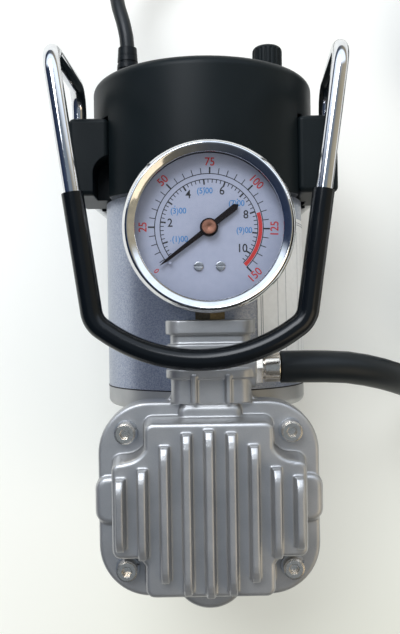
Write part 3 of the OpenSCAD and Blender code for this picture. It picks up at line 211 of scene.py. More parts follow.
def closeMesh(piece, merge=True):
    activate(piece)
    setMode("EDIT")
    bpy.ops.mesh.select_all(action="SELECT")
    if merge:
        bpy.ops.mesh.remove_doubles(threshold=0.000005)
    bpy.ops.mesh.normals_make_consistent(inside=False)
    setMode("OBJECT")


# one smooth open or closed line through points in mm, as a round rod
def addRod(name, points, diameter, rings, closed=False):
    curve = bpy.data.curves.new(name, "CURVE")
    curve.dimensions = "3D"
    curve.bevel_depth = diameter / 2 * mm
    curve.bevel_resolution = rings
    curve.use_fill_caps = True
    curve.twist_mode = "MINIMUM"
    spline = curve.splines.new("POLY")
    spline.points.add(len(points) - 1)
    for slot, point in zip(spline.points, points):
        slot.co = (*[v * mm for v in point], 1)
    spline.use_cyclic_u = closed
    spline.use_smooth = True
    return addObject(name, curve)


def toMesh(piece):
    activate(piece)
    bpy.ops.object.convert(target="MESH")
    return bpy.context.object


def lengthOf(points):
    return sum((Vector(b) - Vector(a)).length for a, b in zip(points, points[1:])) * mm


# a rounded corner of a path, as the CAD route rounds it
def bendPoints(a, corner, b, radius, steps):
    a, corner, b = Vector(a), Vector(corner), Vector(b)
    u, v = (a - corner).normalized(), (b - corner).normalized()
    half = math.acos(max(-1, min(1, u.dot(v)))) / 2
    back = radius / math.tan(half)
    middle = corner + (u + v).normalized() * radius / math.sin(half)
    start, end = corner + u * back - middle, corner + v * back - middle
    angle = math.pi - 2 * half
    return [middle + (start * math.sin(angle * (1 - i / steps)) + end * math.sin(angle * i / steps))
            / math.sin(angle) for i in range(steps + 1)]


# rounds a route of straight runs into one smooth line that keeps to its points
def smoothLine(points, spacing):
    points = [Vector(p) for p in points]
    line = []
    for i in range(len(points) - 1):
        p0, p1 = points[max(i - 1, 0)], points[i]
        p2, p3 = points[i + 1], points[min(i + 2, len(points) - 1)]
        span = (p2 - p1).length
        if span < 1e-6:
            continue
        t1 = (p2 - p0) * (span / max((p2 - p0).length, 1e-6))
        t2 = (p3 - p1) * (span / max((p3 - p1).length, 1e-6))
        steps = max(1, round(span / spacing))
        for k in range(steps):
            s = k / steps
            line.append((2 * s**3 - 3 * s**2 + 1) * p1 + (s**3 - 2 * s**2 + s) * t1
                        + (3 * s**2 - 2 * s**3) * p2 + (s**3 - s**2) * t2)
    line.append(points[-1])
    return line


# the level direction at an angle from the x axis
def heading(degrees):
    angle = math.radians(degrees)
    return Vector((math.cos(angle), math.sin(angle), 0))


def coilCentre(coil):
    return Vector(coil["start"]) - coil["radius"] * heading(coil["startTurn"])


# a coil winds inwards and outwards by turns, and climbs from each layer to the next
def coilPoints(coil, stepsPerTurn=24, climbTurns=0.5):
    turns, layers, pitch = coil["turns"], coil["layers"], coil["pitch"]
    perLayer = turns / layers
    centre = coilCentre(coil)
    steps = round(turns * stepsPerTurn)
    points = []
    for i in range(steps + 1):
        t = turns * i / steps
        layer = min(math.floor(t / perLayer), layers - 1)
        within = t - layer * perLayer
        radius = coil["radius"] - (within if layer % 2 == 0 else perLayer - within) * pitch
        climb = 0
        for j in range(1, layers):
            c = max(0, min(1, (t - j * perLayer + climbTurns / 2) / climbTurns))
            climb += c * c * (3 - 2 * c)
        angle = math.radians(coil["startTurn"]) + coil["hand"] * math.tau * t
        points.append(centre + Vector((radius * math.cos(angle), radius * math.sin(angle),
                                       coil["layerHeight"] * climb)))
    return points


# the whole line of a hose or cord: from the body to its coil, the coil, and on to its end
def cordLine(piece):
    coil, diameter, end = piece["coil"], piece["diameter"], Vector(piece["end"])
    spacing = diameter * 0.8
    turns = coilPoints(coil)
    way = heading(piece["endTurn"])
    first = math.radians(coil["startTurn"])
    last = first + coil["hand"] * math.tau * coil["turns"]
    lead = turns[0] - coil["hand"] * diameter * Vector((-math.sin(first), math.cos(first), 0))
    leave = turns[-1] + coil["hand"] * diameter * Vector((-math.sin(last), math.cos(last), 0))
    before = piece["route"] + [lead]
    after = [leave] + piece["tail"] + [end - diameter * way, end]
    return smoothLine(before, spacing) + turns + smoothLine(after, spacing)


# air hose and power cord, in mm and degrees
hose = {
    "diameter": 11.0, "rings": 5,
    "route": [(25, -20.725, 100), (33, -20.7, 100), (48.1, -21.4, 97.8), (61.8, -24.3, 91.5),
              (72.8, -28.1, 81.6), (80.6, -31.2, 68.8), (85, -33, 53.1), (89.3, -34.7, 37.4),
              (97.1, -37.8, 24.6), (107.9, -42.2, 14.7), (120.9, -47.4, 8.4)],
    "coil": {"turns": 2.5, "layers": 2, "pitch": 12, "layerHeight": 12, "radius": 63,
             "start": (145, -57, 6.2), "startTurn": 248, "hand": 1},
    "tail": [(171.4, 66.8, 19.3), (160.4, 67.3, 21.9), (149.6, 65.3, 25.1), (138.7, 60.4, 28.3),
             (129.3, 52.9, 30.1), (122.1, 43.4, 30.2), (117.5, 32.4, 30.2)],
    "end": (115.3, 9.5, 30.2),
    "endTurn": 268,
    "tie": {"angle": 200, "inner": 43, "outer": 69.5, "low": 0.5, "high": 24.3, "width": 9},
}
cord = {
    "diameter": 6.0, "rings": 4,
    "route": [(-31, 110.175, 42), (-31.4, 115.2, 41.9), (-32.9, 122.4, 40.8), (-34.8, 129.1, 38.7),
              (-36, 135.2, 36), (-36.3, 142.2, 32.4), (-34.6, 149, 28.3), (-31, 155.1, 23.9),
              (-25.8, 159.8, 19.5), (-19.4, 162.8, 15.2), (-12.5, 163.8, 11.3), (-0.5, 163.8, 6),
              (13.5, 163.8, 3.2), (29.5, 163.8, 3.2)],
    "coil": {"turns": 12, "layers": 4, "pitch": 6.6, "layerHeight": 6.6, "radius": 44.5,
             "start": (145, 163.8, 3.2), "startTurn": 90, "hand": -1},
    "tail": [(160, 163.8, 23), (172, 163.8, 22.1), (184, 163.8, 20.2), (195, 163.8, 17.9),
             (203.9, 162.2, 15.9), (211.7, 157.7, 14.1), (217.5, 150.8, 12.7),
             (220.4, 143.2, 11.8)],
    "end": (221, 130.8, 11.6),
    "endTurn": -90,
    "tie": {"angle": 330, "inner": 20.8, "outer": 48.2, "low": 0.5, "high": 26.6, "width": 8},
}
# both ties; the corner is a share of the band's height, the edge a share of its thickness
tie = {"thick": 0.9, "corner": 0.3, "cornerSteps": 6, "edge": 0.3}

hoseLine = cordLine(hose)
cordWay = cordLine(cord)
airHose = addRod("airHose", hoseLine, hose["diameter"], hose["rings"])
powerCord = addRod("powerCord", cordWay, cord["diameter"], cord["rings"])
print("hose and cord laid:", round(lengthOf(hoseLine), 3), round(lengthOf(cordWay), 3))


# a flat band round the turns of a coil, at one angle of the coil
def addTie(name, coil, angle, inner, outer, low, high, width):
    middle = coilCentre(coil) + heading(angle) * (inner + outer) / 2
    middle.z = (low + high) / 2
    corner = min(outer - inner, high - low) * tie["corner"]
    deselectAll()
    bpy.ops.mesh.primitive_cube_add(
        size=1, location=middle * mm, rotation=(0, 0, math.radians(angle)))
    band = bpy.context.object
    band.scale = ((outer - inner) * mm, width * mm, (high - low) * mm)
    bpy.ops.object.transform_apply(location=False, rotation=False, scale=True)
    setMode("EDIT")
    bpy.ops.mesh.select_mode(type="FACE")
    bpy.ops.mesh.select_all(action="DESELECT")
    setMode("OBJECT")
    for face in band.data.polygons:
        face.select = abs(face.normal.y) > 0.9
    setMode("EDIT")
    bpy.ops.mesh.delete(type="ONLY_FACE")
    bpy.ops.mesh.select_mode(type="EDGE")
    bpy.ops.mesh.select_all(action="DESELECT")
    setMode("OBJECT")
    for edge in band.data.edges:
        a, b = (band.data.vertices[i].co for i in edge.vertices)
        edge.select = abs(a.y - b.y) > width * mm * 0.9
    setMode("EDIT")
    bpy.ops.mesh.bevel(offset=corner * mm, segments=tie["cornerSteps"], affect="EDGES")
    setMode("OBJECT")
    closeMesh(band)
    applyModifier(band, "SOLIDIFY", thickness=tie["thick"] * mm, offset=0)
    applyModifier(band, "BEVEL", width=tie["thick"] * tie["edge"] * mm, segments=2,
                  limit_method="ANGLE")
    smoothFaces(band)
    return namePiece(band, name)


hoseTie = addTie("hoseTie", hose["coil"], **hose["tie"])
cordTie = addTie("cordTie", cord["coil"], **cord["tie"])
print("ties added")

# the cylinder head is one casting, in mm
head = {
    "centre": (0, -64.525),
    "flange": (75, 66, 8), "flangeCorner": 17.5, "flangeTop": 102.6,
    "blockTop": 114.6, "blockSunk": 1, "blockCorner": 2.8, "blockShift": -0.9,
    "longBar": (43.4, 57.9), "crossBar": (64.8, 32.6), "web": (55.5, 45.5),
    "boltSpacing": (55.5, 45.5), "boltHole": 2.3, "boltRelief": 7.2, "draft": 0.9, "rim": 1.3,
    "finShift": -1.5, "finPitch": 7.15, "finTop": 120.2, "finRoot": 1.5, "finFoot": 3.1,
    "finCrest": 2.5, "finEdge": 0.3, "finArch": 6.5, "finDrop": 1.7, "finSteps": 24,
    "finLengths": (52.8, 50.7, 42.9, 28.3, 22.5),  # the middle one first
    "sideBoss": (12.4, 16.9), "sideRise": 1.6, "sideInset": 5,
    "frontBoss": 13, "frontReach": 5.2, "frontStep": 1.6,
    "rearBoss": (22, 7.6), "rearRise": 3.9, "rearInset": 4, "rearX": 0.7,
    "hollow": (35.4, 50, 40), "hollowDrop": 8,
    "neckX": 1.2, "neckWidth": 27, "neckHeight": 13, "neckMiddle": 100, "neckRear": -4.325,
    "neckCorner": 3.6, "neckStop": 0.4, "neckSunk": 0.7,
    "collars": ((4.7, 0, 1.6), (10.4, 8, 1.3), (19.4, 16.4, 1.6)),  # from, to, height
    "ribs": (2.2, 3.6), "ribX": 5.7, "ribStop": 18, "ribLift": 0.3,
    "fillet": 3, "filletHigh": 6.4,
    "port": (6.7, 15.2), "portY": -20.725, "portReach": 1.7,
    "grain": 0.34,  # how finely the casting's surface is divided
}


# one fin: its crest bends down at both ends, and its walls lean in towards the crest
def addFin(x, long):
    cy = head["centre"][1] + head["finShift"]
    base, full = head["blockTop"] - head["finRoot"], head["finTop"]
    arch, edge, steps = head["finArch"], head["finEdge"], head["finSteps"]
    lean = (head["finFoot"] - head["finCrest"]) / 2 / (full - head["blockTop"])
    points = []
    for i in range(steps + 1):
        y = (i / steps * 2 - 1) * long / 2
        bend = max(0, (abs(y) - long / 2 + arch) / arch)
        top = full - head["finDrop"] * bend**3
        half = head["finCrest"] / 2 + (full - top) * lean
        wide = head["finFoot"] / 2 + head["finRoot"] * lean
        points += [(x - wide, y, base), (x + wide, y, base),
                   (x + half, y, top - edge), (x + half - edge, y, top),
                   (x - half + edge, y, top), (x - half, y, top - edge)]
    faces = [(6 * i + k, 6 * i + (k + 1) % 6, 6 * i + 6 + (k + 1) % 6, 6 * i + 6 + k)
             for i in range(steps) for k in range(6)]
    faces += [(0, 1, 2, 3, 4, 5), tuple(6 * steps + k for k in (5, 4, 3, 2, 1, 0))]
    mesh = bpy.data.meshes.new("fin")
    mesh.from_pydata([(px * mm, (cy + py) * mm, pz * mm) for px, py, pz in points], [], faces)
    fin = addObject("fin", mesh)
    closeMesh(fin)
    return fin


def makeHead():
    cx, cy = head["centre"]
    width, length, thick = head["flange"]
    top, rim, relief = head["flangeTop"], head["rim"], head["boltRelief"]
    bolts = [(cx + x * head["boltSpacing"][0] / 2, cy + y * head["boltSpacing"][1] / 2)
             for x in (-1, 1) for y in (-1, 1)]
    parts = [addSlab((width, length, thick), (cx, cy, top - thick / 2), head["flangeCorner"],
                     taper=0.1, segments=16, rim=1.2)]
    rise = head["blockTop"] - top + head["blockSunk"]
    middle = top - head["blockSunk"] + rise / 2
    for plan in ("longBar", "crossBar"):
        parts.append(addSlab((*head[plan], rise), (cx, cy + head["blockShift"], middle),
                             head["blockCorner"], head["draft"], 6, rim))
    web = addSlab((*head["web"], rise), (cx, cy, middle))
    for x, y in bolts:
        cutWith(web, addDrum(relief, rise + 4, (x, y, middle), 48, tip=relief + head["draft"]))
    roundEdges(web, rim, 4, lambda a, b: min(a.z, b.z) > (head["blockTop"] - 0.1) * mm)
    parts.append(web)
    for i in range(-4, 5):
        parts.append(addFin(cx + i * head["finPitch"], head["finLengths"][abs(i)]))
    # four domed bosses stand round the flange's rim
    high = thick + head["sideRise"]
    for x in (-1, 1):
        place = (cx + x * (width / 2 - head["sideInset"]), cy, top - thick + high / 2)
        parts.append(addSlab((*head["sideBoss"], high), place, corner=4.5, taper=0.3, rim=2))
    high = thick - head["frontStep"]
    place = (cx, cy - length / 2 + head["frontBoss"] - head["frontReach"], top - thick + high / 2)
    front = addDrum(head["frontBoss"], high, place, 96)
    roundEdges(front, head["frontStep"], 4,
               lambda a, b: min(a.z, b.z) > (top - head["frontStep"] - 0.1) * mm)
    high = thick + head["rearRise"]
    place = (head["rearX"], cy + length / 2 - head["rearInset"], top - thick + high / 2)
    rear = addSlab((*head["rearBoss"], high), place, corner=3, taper=0.6, segments=6, rim=1.9)
    body = joinPieces(parts + [front, rear] + makeNeck())
    closeMesh(body, merge=False)
    applyModifier(body, "REMESH", mode="VOXEL", voxel_size=head["grain"] * mm)
    applyModifier(body, "SMOOTH", factor=0.5, iterations=1)
    applyModifier(body, "DECIMATE", ratio=0.4)
    for x, y in bolts:
        cutWith(body, addDrum(head["boltHole"], 30, (x, y, top), 32))
    cutWith(body, addSlab(head["hollow"], (cx, cy, top - thick - head["hollowDrop"]), 2))
    activate(body)
    bpy.ops.object.shade_smooth()
    return namePiece(body, "headCasting")


# a slab that lies along the body's length, its long edges rounded
def addBar(width, high, start, end, corner):
    bar = addSlab((width, high, end - start), (0, 0, 0), corner)
    bar.rotation_euler = (math.pi / 2, 0, 0)
    bar.location = (head["neckX"] * mm, (start + end) / 2 * mm, head["neckMiddle"] * mm)
    applyPlace(bar)
    return bar


def makeNeck():
    x0, rear, middle = head["neckX"], head["neckRear"], head["neckMiddle"]
    wide, high, corner = head["neckWidth"], head["neckHeight"], head["neckCorner"]
    edge = head["centre"][1] + head["flange"][1] / 2
    front, stop = edge - head["neckSunk"], rear - head["ribStop"]
    parts = [addBar(wide, high, front, rear - head["neckStop"], corner)]
    for start, end, grow in head["collars"]:
        parts.append(addBar(wide + 2 * grow, high + 2 * grow, rear - start, rear - end,
                            corner + grow))
    for x in (-head["ribX"], head["ribX"]):
        parts.append(addSlab((head["ribs"][0], stop - front, head["ribs"][1]),
                             (x0 + x, (front + rear - head["ribStop"]) / 2,
                              middle + high / 2 + head["ribLift"]),
                             corner=0.5, taper=0.2, segments=3, rim=0.4))
    r = head["fillet"]
    level = head["flangeTop"] - head["flange"][2] + head["filletHigh"] / 2
    for x in (-1, 1):
        side = x0 + x * wide / 2
        web = addSlab((r + 1, r + 1, head["filletHigh"]),
                      (side + x * (r - 1) / 2, edge + (r - 1) / 2, level))
        cutWith(web, addDrum(r, 12, (side + x * r, edge + r, level), 48))
        parts.append(web)
    radius, long = head["port"]
    place = (x0 + wide / 2 + head["portReach"] - long / 2, head["portY"], middle)
    parts.append(addDrum(radius, long, place, 48, "X"))
    return parts


headCasting = makeHead()
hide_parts("cylinder_head")
print("head cast:", len(headCasting.data.polygons), "faces")

# carry handle, in mm
handle = {
    "wire": 5.5, "wireRings": 6,
    "grip": 7.1, "gripRings": 7, "gripEnd": 36.675, "gripEdge": 0.45,
    "corners": [(0, -28.425, 117), (34, -4.625, 117), (46.8, 84.175, 117), (47.5, 84.175, 68),
                (47.5, 51.775, 68), (48.3, 48.275, 44), (32, 36.175, 4.75), (0, 36.175, 4.75)],
    "lean": 2.2, "leanFrom": 74, "archRadius": 52, "archSteps": 32,
    "bends": (8, 9, 9, 8, 10, 10), "bendSteps": (14, 14, 14, 12, 8, 12),
}


def mirrorPoints(points):
    return [Vector((-p[0], p[1], p[2])) for p in points]


# the handle leans over to the left, the more the higher above its clamps
def leaning(points):
    low, high = handle["leanFrom"], handle["corners"][1][2]
    for p in points:
        c = max(0, min(1, (p.z - low) / (high - low)))
        p.x -= handle["lean"] * c * c * (3 - 2 * c)
    return points


def makeHandle():
    corners = [Vector(c) for c in handle["corners"]]
    bends, bendSteps, archSteps = handle["bends"], handle["bendSteps"], handle["archSteps"]
    arch = bendPoints(mirrorPoints([corners[1]])[0], corners[0], corners[1],
                      handle["archRadius"], archSteps)[archSteps // 2:archSteps]
    half = arch.copy()
    for i, (radius, steps) in enumerate(zip(bends, bendSteps), 1):
        before = arch[-1] if i == 1 else corners[i - 1]
        half += bendPoints(before, corners[i], corners[i + 1], radius, steps)
    half.append(corners[-1])
    loop = leaning([p.copy() for p in half + mirrorPoints(half[-2:0:-1])])
    frameRod = toMesh(addRod("handleFrame", loop, handle["wire"], handle["wireRings"],
                             closed=True))
    closeMesh(frameRod)
    activate(frameRod)
    bpy.ops.object.shade_smooth()
    slope = (corners[2].x - corners[1].x) / (corners[2].y - corners[1].y)
    y = handle["gripEnd"]
    gripEnd = Vector((corners[1].x + slope * (y - corners[1].y), y, corners[1].z))
    side = arch + bendPoints(arch[-1], corners[1], corners[2], bends[0], bendSteps[0]) + [gripEnd]
    line = leaning([p.copy() for p in mirrorPoints(side[:0:-1]) + side])
    gripRod = toMesh(addRod("handleGrip", line, handle["grip"], handle["gripRings"]))
    applyModifier(gripRod, "BEVEL", width=handle["gripEdge"] * mm, segments=3,
                  limit_method="ANGLE", angle_limit=math.radians(60))
    smoothFaces(gripRod, 40)
    return namePiece(frameRod, "handleFrame"), namePiece(gripRod, "handleGrip")


handleFrame, handleGrip = makeHandle()
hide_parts("handle_frame")
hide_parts("handle_grip")
print("handle bent")

# the gauge's printed dial, in mm and degrees
dial = {
    "centre": (1.2, 25.975), "face": 108.6, "lift": 0.04, "redLift": 0.03, "numberLift": 0.05,
    "start": 223.4, "degreesPerPsi": 1.8, "psiPerBar": 14.223,
    "psiTop": 150, "psiStep": 5, "psiMajor": 25, "barStep": 0.2, "barSteps": 53,
    "outerArc": 17.9, "innerArc": 16.1, "line": 0.28, "arcFrom": 217, "tickFrom": 216,
    "outerTick": 19.9, "outerMajor": 20.1, "innerTick": 14.9, "innerMajor": 14.3,
    "majorWide": 0.52, "minorWide": 0.27, "bold": 0.01, "narrow": 0.93, "spacing": 0.97,
    "redNumbers": 21.7, "redSize": 3.8, "redFrom": 115, "turnedFrom": 125,  # the last two in psi
    "blackNumbers": 12.9, "blackSize": 3.9, "zeroSize": 2.5, "zeroOut": 0.5, "zeroTurn": 1.5,
    "blueSize": 2.75, "blueDots": 13.3, "dotSize": 0.34,
    # bar, and the number's place from the axis
    "bluePlaces": ((1, -9.6, -3.6), (3, -10, 5.7), (5, -1.2, 12.2), (7, 9.2, 7.9),
                   (9, 11.6, -1.0)),
}


def dialPoint(radius, degrees, lift=dial["lift"]):
    angle = math.radians(degrees)
    cx, cy = dial["centre"]
    return ((cx + radius * math.cos(angle)) * mm, (cy + radius * math.sin(angle)) * mm,
            (dial["face"] + lift) * mm)


def printArc(inner, outer, start, end, lift=dial["lift"]):
    steps = max(4, round(abs(end - start) / 2.5))
    turns = [start + (end - start) * i / steps for i in range(steps + 1)]
    points = [dialPoint(r, a, lift) for a in turns for r in (inner, outer)]
    faces = [(2 * i, 2 * i + 1, 2 * i + 3, 2 * i + 2) for i in range(steps)]
    return printSheet(points, faces)


def printSheet(points, faces):
    mesh = bpy.data.meshes.new("print")
    mesh.from_pydata(points, [], faces)
    sheet = addObject("print", mesh)
    for face in mesh.polygons:
        if face.normal.z < 0:
            face.flip()
    return sheet


def printTick(inner, outer, degrees, wide):
    out = heading(degrees)
    side = Vector((-out.y, out.x, 0)) * wide / 2 * mm
    a, b = Vector(dialPoint(inner, degrees)), Vector(dialPoint(outer, degrees))
    return printSheet([a - side, b - side, b + side, a + side], [(0, 1, 2, 3)])


def printNumber(words, radius, degrees, size, turned=0):
    deselectAll()
    bpy.ops.object.text_add(location=dialPoint(radius, degrees, dial["numberLift"]),
                            rotation=(0, 0, math.radians(turned)))
    number = bpy.context.object
    text = number.data
    text.body = words
    text.size = size * mm
    text.align_x = text.align_y = "CENTER"
    text.resolution_u = 3
    text.space_character = dial["spacing"]
    text.offset = dial["bold"] * size * mm
    number = toMesh(number)
    number.scale.x = dial["narrow"]
    applyPlace(number)
    return number


# black scales in psi outside and bar inside, red numbers in psi and blue ones in kPa
def makeDial():
    start, perPsi = dial["start"], dial["degreesPerPsi"]
    perBar = perPsi * dial["psiPerBar"]
    end = start - dial["psiTop"] * perPsi
    line, outer, inner = dial["line"], dial["outerArc"], dial["innerArc"]
    wide = (dial["minorWide"], dial["majorWide"])
    black = [printArc(arc - line / 2, arc + line / 2, dial["arcFrom"], end)
             for arc in (outer, inner)]
    for psi in range(0, dial["psiTop"] + 1, dial["psiStep"]):
        major, turn = psi % dial["psiMajor"] == 0, start - psi * perPsi
        if turn < dial["tickFrom"]:
            tip = dial["outerMajor" if major else "outerTick"]
            black.append(printTick(outer, tip, turn, wide[major]))
    for step in range(dial["barSteps"]):
        major, turn = step % 5 == 0, start - step * dial["barStep"] * perBar
        if turn < dial["tickFrom"]:
            tip = dial["innerMajor" if major else "innerTick"]
            black.append(printTick(tip, inner, turn, wide[major]))
    for bar in (2, 4, 6, 8, 10):
        turn = start - bar * perBar
        black.append(printNumber(str(bar), dial["blackNumbers"], turn, dial["blackSize"]))
    red = [printArc(inner + line, outer - line, start - dial["redFrom"] * perPsi, end,
                    dial["redLift"]),
           printNumber("0", dial["redNumbers"] + dial["zeroOut"],
                       dial["arcFrom"] + dial["zeroTurn"], dial["zeroSize"],
                       dial["arcFrom"] - 90)]
    for psi in range(dial["psiMajor"], dial["psiTop"] + 1, dial["psiMajor"]):
        turn = start - psi * perPsi
        turned = turn + (90 if psi >= dial["turnedFrom"] else -90)
        red.append(printNumber(str(psi), dial["redNumbers"], turn, dial["redSize"], turned))
    blue = []
    dot, size = dial["blueDots"], dial["dotSize"]
    for bar, x, y in dial["bluePlaces"]:
        turn = math.degrees(math.atan2(y, x))
        blue.append(printNumber("(%d)00" % bar, math.hypot(x, y), turn, dial["blueSize"]))
        blue.append(printTick(dot - size / 2, dot + size / 2, start - bar * perBar, size))
    return (namePiece(joinPieces(black), "dialBlackPrint"),
            namePiece(joinPieces(red), "dialRedPrint"),
            namePiece(joinPieces(blue), "dialBluePrint"))


dialBlack, dialRed, dialBlue = makeDial()

# both sections are in mm from the dial's axis, and height
hub = {
    "height": 111.55, "segments": 64,
    "section": ((0, 0), (2.3, 0), (2.42, 0.12), (2.42, 0.5), (2.2, 0.72), (0.75, 0.8),
                (0.55, 0.7), (0, 0.68)),
}
bezel = {
    "segments": 224,
    # up the outer wall, over the roll and down to the lens
    "section": ((28.1, 108.5), (28.1, 113.7), (28.0, 114.4), (27.75, 115.05), (27.35, 115.65),
                (27.0, 116.08), (26.72, 116.32), (26.4, 116.42), (26.1, 116.34),
                (25.75, 116.13), (25.2, 115.76), (24.6, 115.35), (24.2, 115.06),
                (24.0, 114.85), (23.95, 114.6), (23.95, 114.15), (26.1, 114.15),
                (26.1, 108.5)),
}
hubCap = turnProfile(hub["section"], (*dial["centre"], hub["height"]), hub["segments"])
smoothFaces(hubCap, 40)
hubCap = namePiece(hubCap, "pointerHubCap")
bezelRing = turnProfile(bezel["section"], (*dial["centre"], 0), bezel["segments"])
smoothFaces(bezelRing, 32)
bezelRing = namePiece(bezelRing, "bezelRing")
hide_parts("gauge_bezel")
print("dial printed, bezel rolled")

# blank label plate on the can, in mm and degrees from the top
label = {
    "radius": 39.62, "from": 28, "to": 88, "front": -22, "rear": 34, "thick": 0.12,
    "lift": 0.03, "rules": (1.4, 2.2), "ruleWidth": 0.25,
    "columns": (42, 49, 63, 70, 77), "columnTurn": 0.3, "columnInset": 5,
}


# part of a cylinder about the motor's axis, between two angles from the top
def addWrap(radius, start, end, front, rear, steps=48):
    rows = max(2, round((rear - front) / 4))
    points = []
    for i in range(steps + 1):
        angle = math.radians(90 - (start + (end - start) * i / steps))
        for k in range(rows + 1):
            y = front + (rear - front) * k / rows
            points.append((radius * math.cos(angle) * mm, y * mm,
                           (motorAxis + radius * math.sin(angle)) * mm))
    row = rows + 1
    faces = [(i * row + k, i * row + k + 1, (i + 1) * row + k + 1, (i + 1) * row + k)
             for i in range(steps) for k in range(rows)]
    wrap = printSheet(points, faces)
    activate(wrap)
    for face in wrap.data.polygons:
        out = Vector((face.center.x, 0, face.center.z - motorAxis * mm))
        if face.normal.dot(out) < 0:
            face.flip()
    return wrap


def makeLabel():
    front, rear, inset = label["front"], label["rear"], label["columnInset"]
    plate = addWrap(label["radius"], label["from"], label["to"], front, rear)
    applyModifier(plate, "SOLIDIFY", thickness=label["thick"] * mm, offset=1)
    smoothFaces(plate, 40)
    lift = label["radius"] + label["thick"] + label["lift"]
    degree = 180 / math.pi / label["radius"]
    lines = []
    for edge in label["rules"]:
        a, b = label["from"] + edge * degree, label["to"] - edge * degree
        f, r, w = front + edge, rear - edge, label["ruleWidth"]
        lines += [addWrap(lift, a, b, f, f + w), addWrap(lift, a, b, r - w, r),
                  addWrap(lift, a, a + w * degree, f, r, 2),
                  addWrap(lift, b - w * degree, b, f, r, 2)]
    for angle in label["columns"]:
        lines.append(addWrap(lift, angle, angle + label["columnTurn"], front + inset,
                             rear - inset, 2))
    rules = joinPieces(lines)
    smoothFaces(rules, 40)
    return namePiece(plate, "labelPlate"), namePiece(rules, "labelRules")


labelPlate, labelRules = makeLabel()
print("label plate added")

# painted shade: a thin black ring stands for the shade in the gap where the can meets the cast
# bell, in mm
seam = {"inner": 39.3, "outer": 39.6, "wide": 0.45, "segments": 160}
can = nodes["motor_can"]
gapShadeEnd = min((can.matrix_world @ v.co).y for v in can.data.vertices)
section = [(seam["inner"], 0), (seam["outer"], 0), (seam["outer"], seam["wide"]),
           (seam["inner"], seam["wide"])]
gapShadeRing = turnProfile(section, (0, 0, 0), seam["segments"])
gapShadeRing.rotation_euler = (math.pi / 2, 0, 0)
gapShadeRing.location = (0, gapShadeEnd + seam["wide"] / 2 * mm, motorAxis * mm)
applyPlace(gapShadeRing)
smoothFaces(gapShadeRing, 40)
gapShadeRing = namePiece(gapShadeRing, "gapShadeRing")
print("gap shade ring laid")


# materials, procedural in object coordinates; their noise scales are per metre
def newMaterial(name, values):
    material = bpy.data.materials.new(name)
    material.use_nodes = True
    tree = material.node_tree
    tree.nodes.clear()
    shader = addNode(tree, "BsdfPrincipled", values)
    addNode(tree, "OutputMaterial", {"Surface": shader.outputs[0]})
    coords = addNode(tree, "TexCoord").outputs["Object"]
    return material, tree, shader, coords


# links a skin's colour, roughness and bump to its shader, and softens hard edges by a radius
def joinSkin(tree, shader, ramp=None, rough=None, bump=None, edge=0.0):
    if edge:
        soft = addNode(tree, "Bevel", {"samples": 4, "Radius": edge})
        tree.links.new(soft.outputs[0], bump.inputs["Normal"])
    for name, node in (("Base Color", ramp), ("Roughness", rough), ("Normal", bump)):
        if node:
            tree.links.new(node.outputs[0], shader.inputs[name])


# die-cast aluminium, bead blasted: a matt silver skin with a fine sandy grain and soft grey clouds
def blastedAluminium(edge=0.0):
    material, tree, shader, coords = newMaterial(
        "blastedCastAluminium" + ("Cad" if edge else ""), {"Metallic": 0.78})
    clouds = addNode(tree, "TexNoise", {"Scale": 70.0, "Detail": 3.0, "Vector": coords})
    grain = addNode(tree, "TexNoise", {"Scale": 2600.0, "Detail": 2.0, "Vector": coords})
    mix = addNode(tree, "Math", {"operation": "MULTIPLY_ADD", 1: 0.35, 0: grain.outputs["Fac"],
                                 2: clouds.outputs["Fac"]})
    stops = ((0.42, hexColor("#A2A3A5")), (0.95, hexColor("#BBBBBB")))
    ramp = addNode(tree, "ValToRGB", {"stops": stops, "Fac": mix.outputs[0]})
    rough = addNode(tree, "MapRange", {"To Min": 0.34, "To Max": 0.5,
                                       "Value": grain.outputs["Fac"]})
    bump = addNode(tree, "Bump", {"Strength": 0.22, "Distance": 0.00012,
                                  "Height": grain.outputs["Fac"]})
    joinSkin(tree, shader, ramp, rough, bump, edge)
    return material


# metallic lacquer on rolled steel: silver-blue, with aluminium flakes under a clear coat
def flakeLacquer():
    material, tree, shader, coords = newMaterial("silverBlueLacquer", {
        "Metallic": 0.7, "Roughness": 0.36, "Coat Weight": 0.35, "Coat Roughness": 0.12})
    flakes = addNode(tree, "TexVoronoi", {"Scale": 3600.0, "Vector": coords})
    clouds = addNode(tree, "TexNoise", {"Scale": 60.0, "Detail": 2.0, "Vector": coords})
    spread = addNode(tree, "SeparateColor", {"Color": flakes.outputs["Color"]})
    mix = addNode(tree, "Math", {"operation": "MULTIPLY_ADD", 1: 0.25, 0: clouds.outputs["Fac"],
                                 2: spread.outputs[0]})
    stops = ((0.1, hexColor("#8089A0")), (1.0, hexColor("#A9B0BF")))
    ramp = addNode(tree, "ValToRGB", {"stops": stops, "Fac": mix.outputs[0]})
    bump = addNode(tree, "Bump", {"Strength": 0.1, "Distance": 0.00006,
                                  "Height": spread.outputs[1]})
    joinSkin(tree, shader, ramp, bump=bump)
    return material


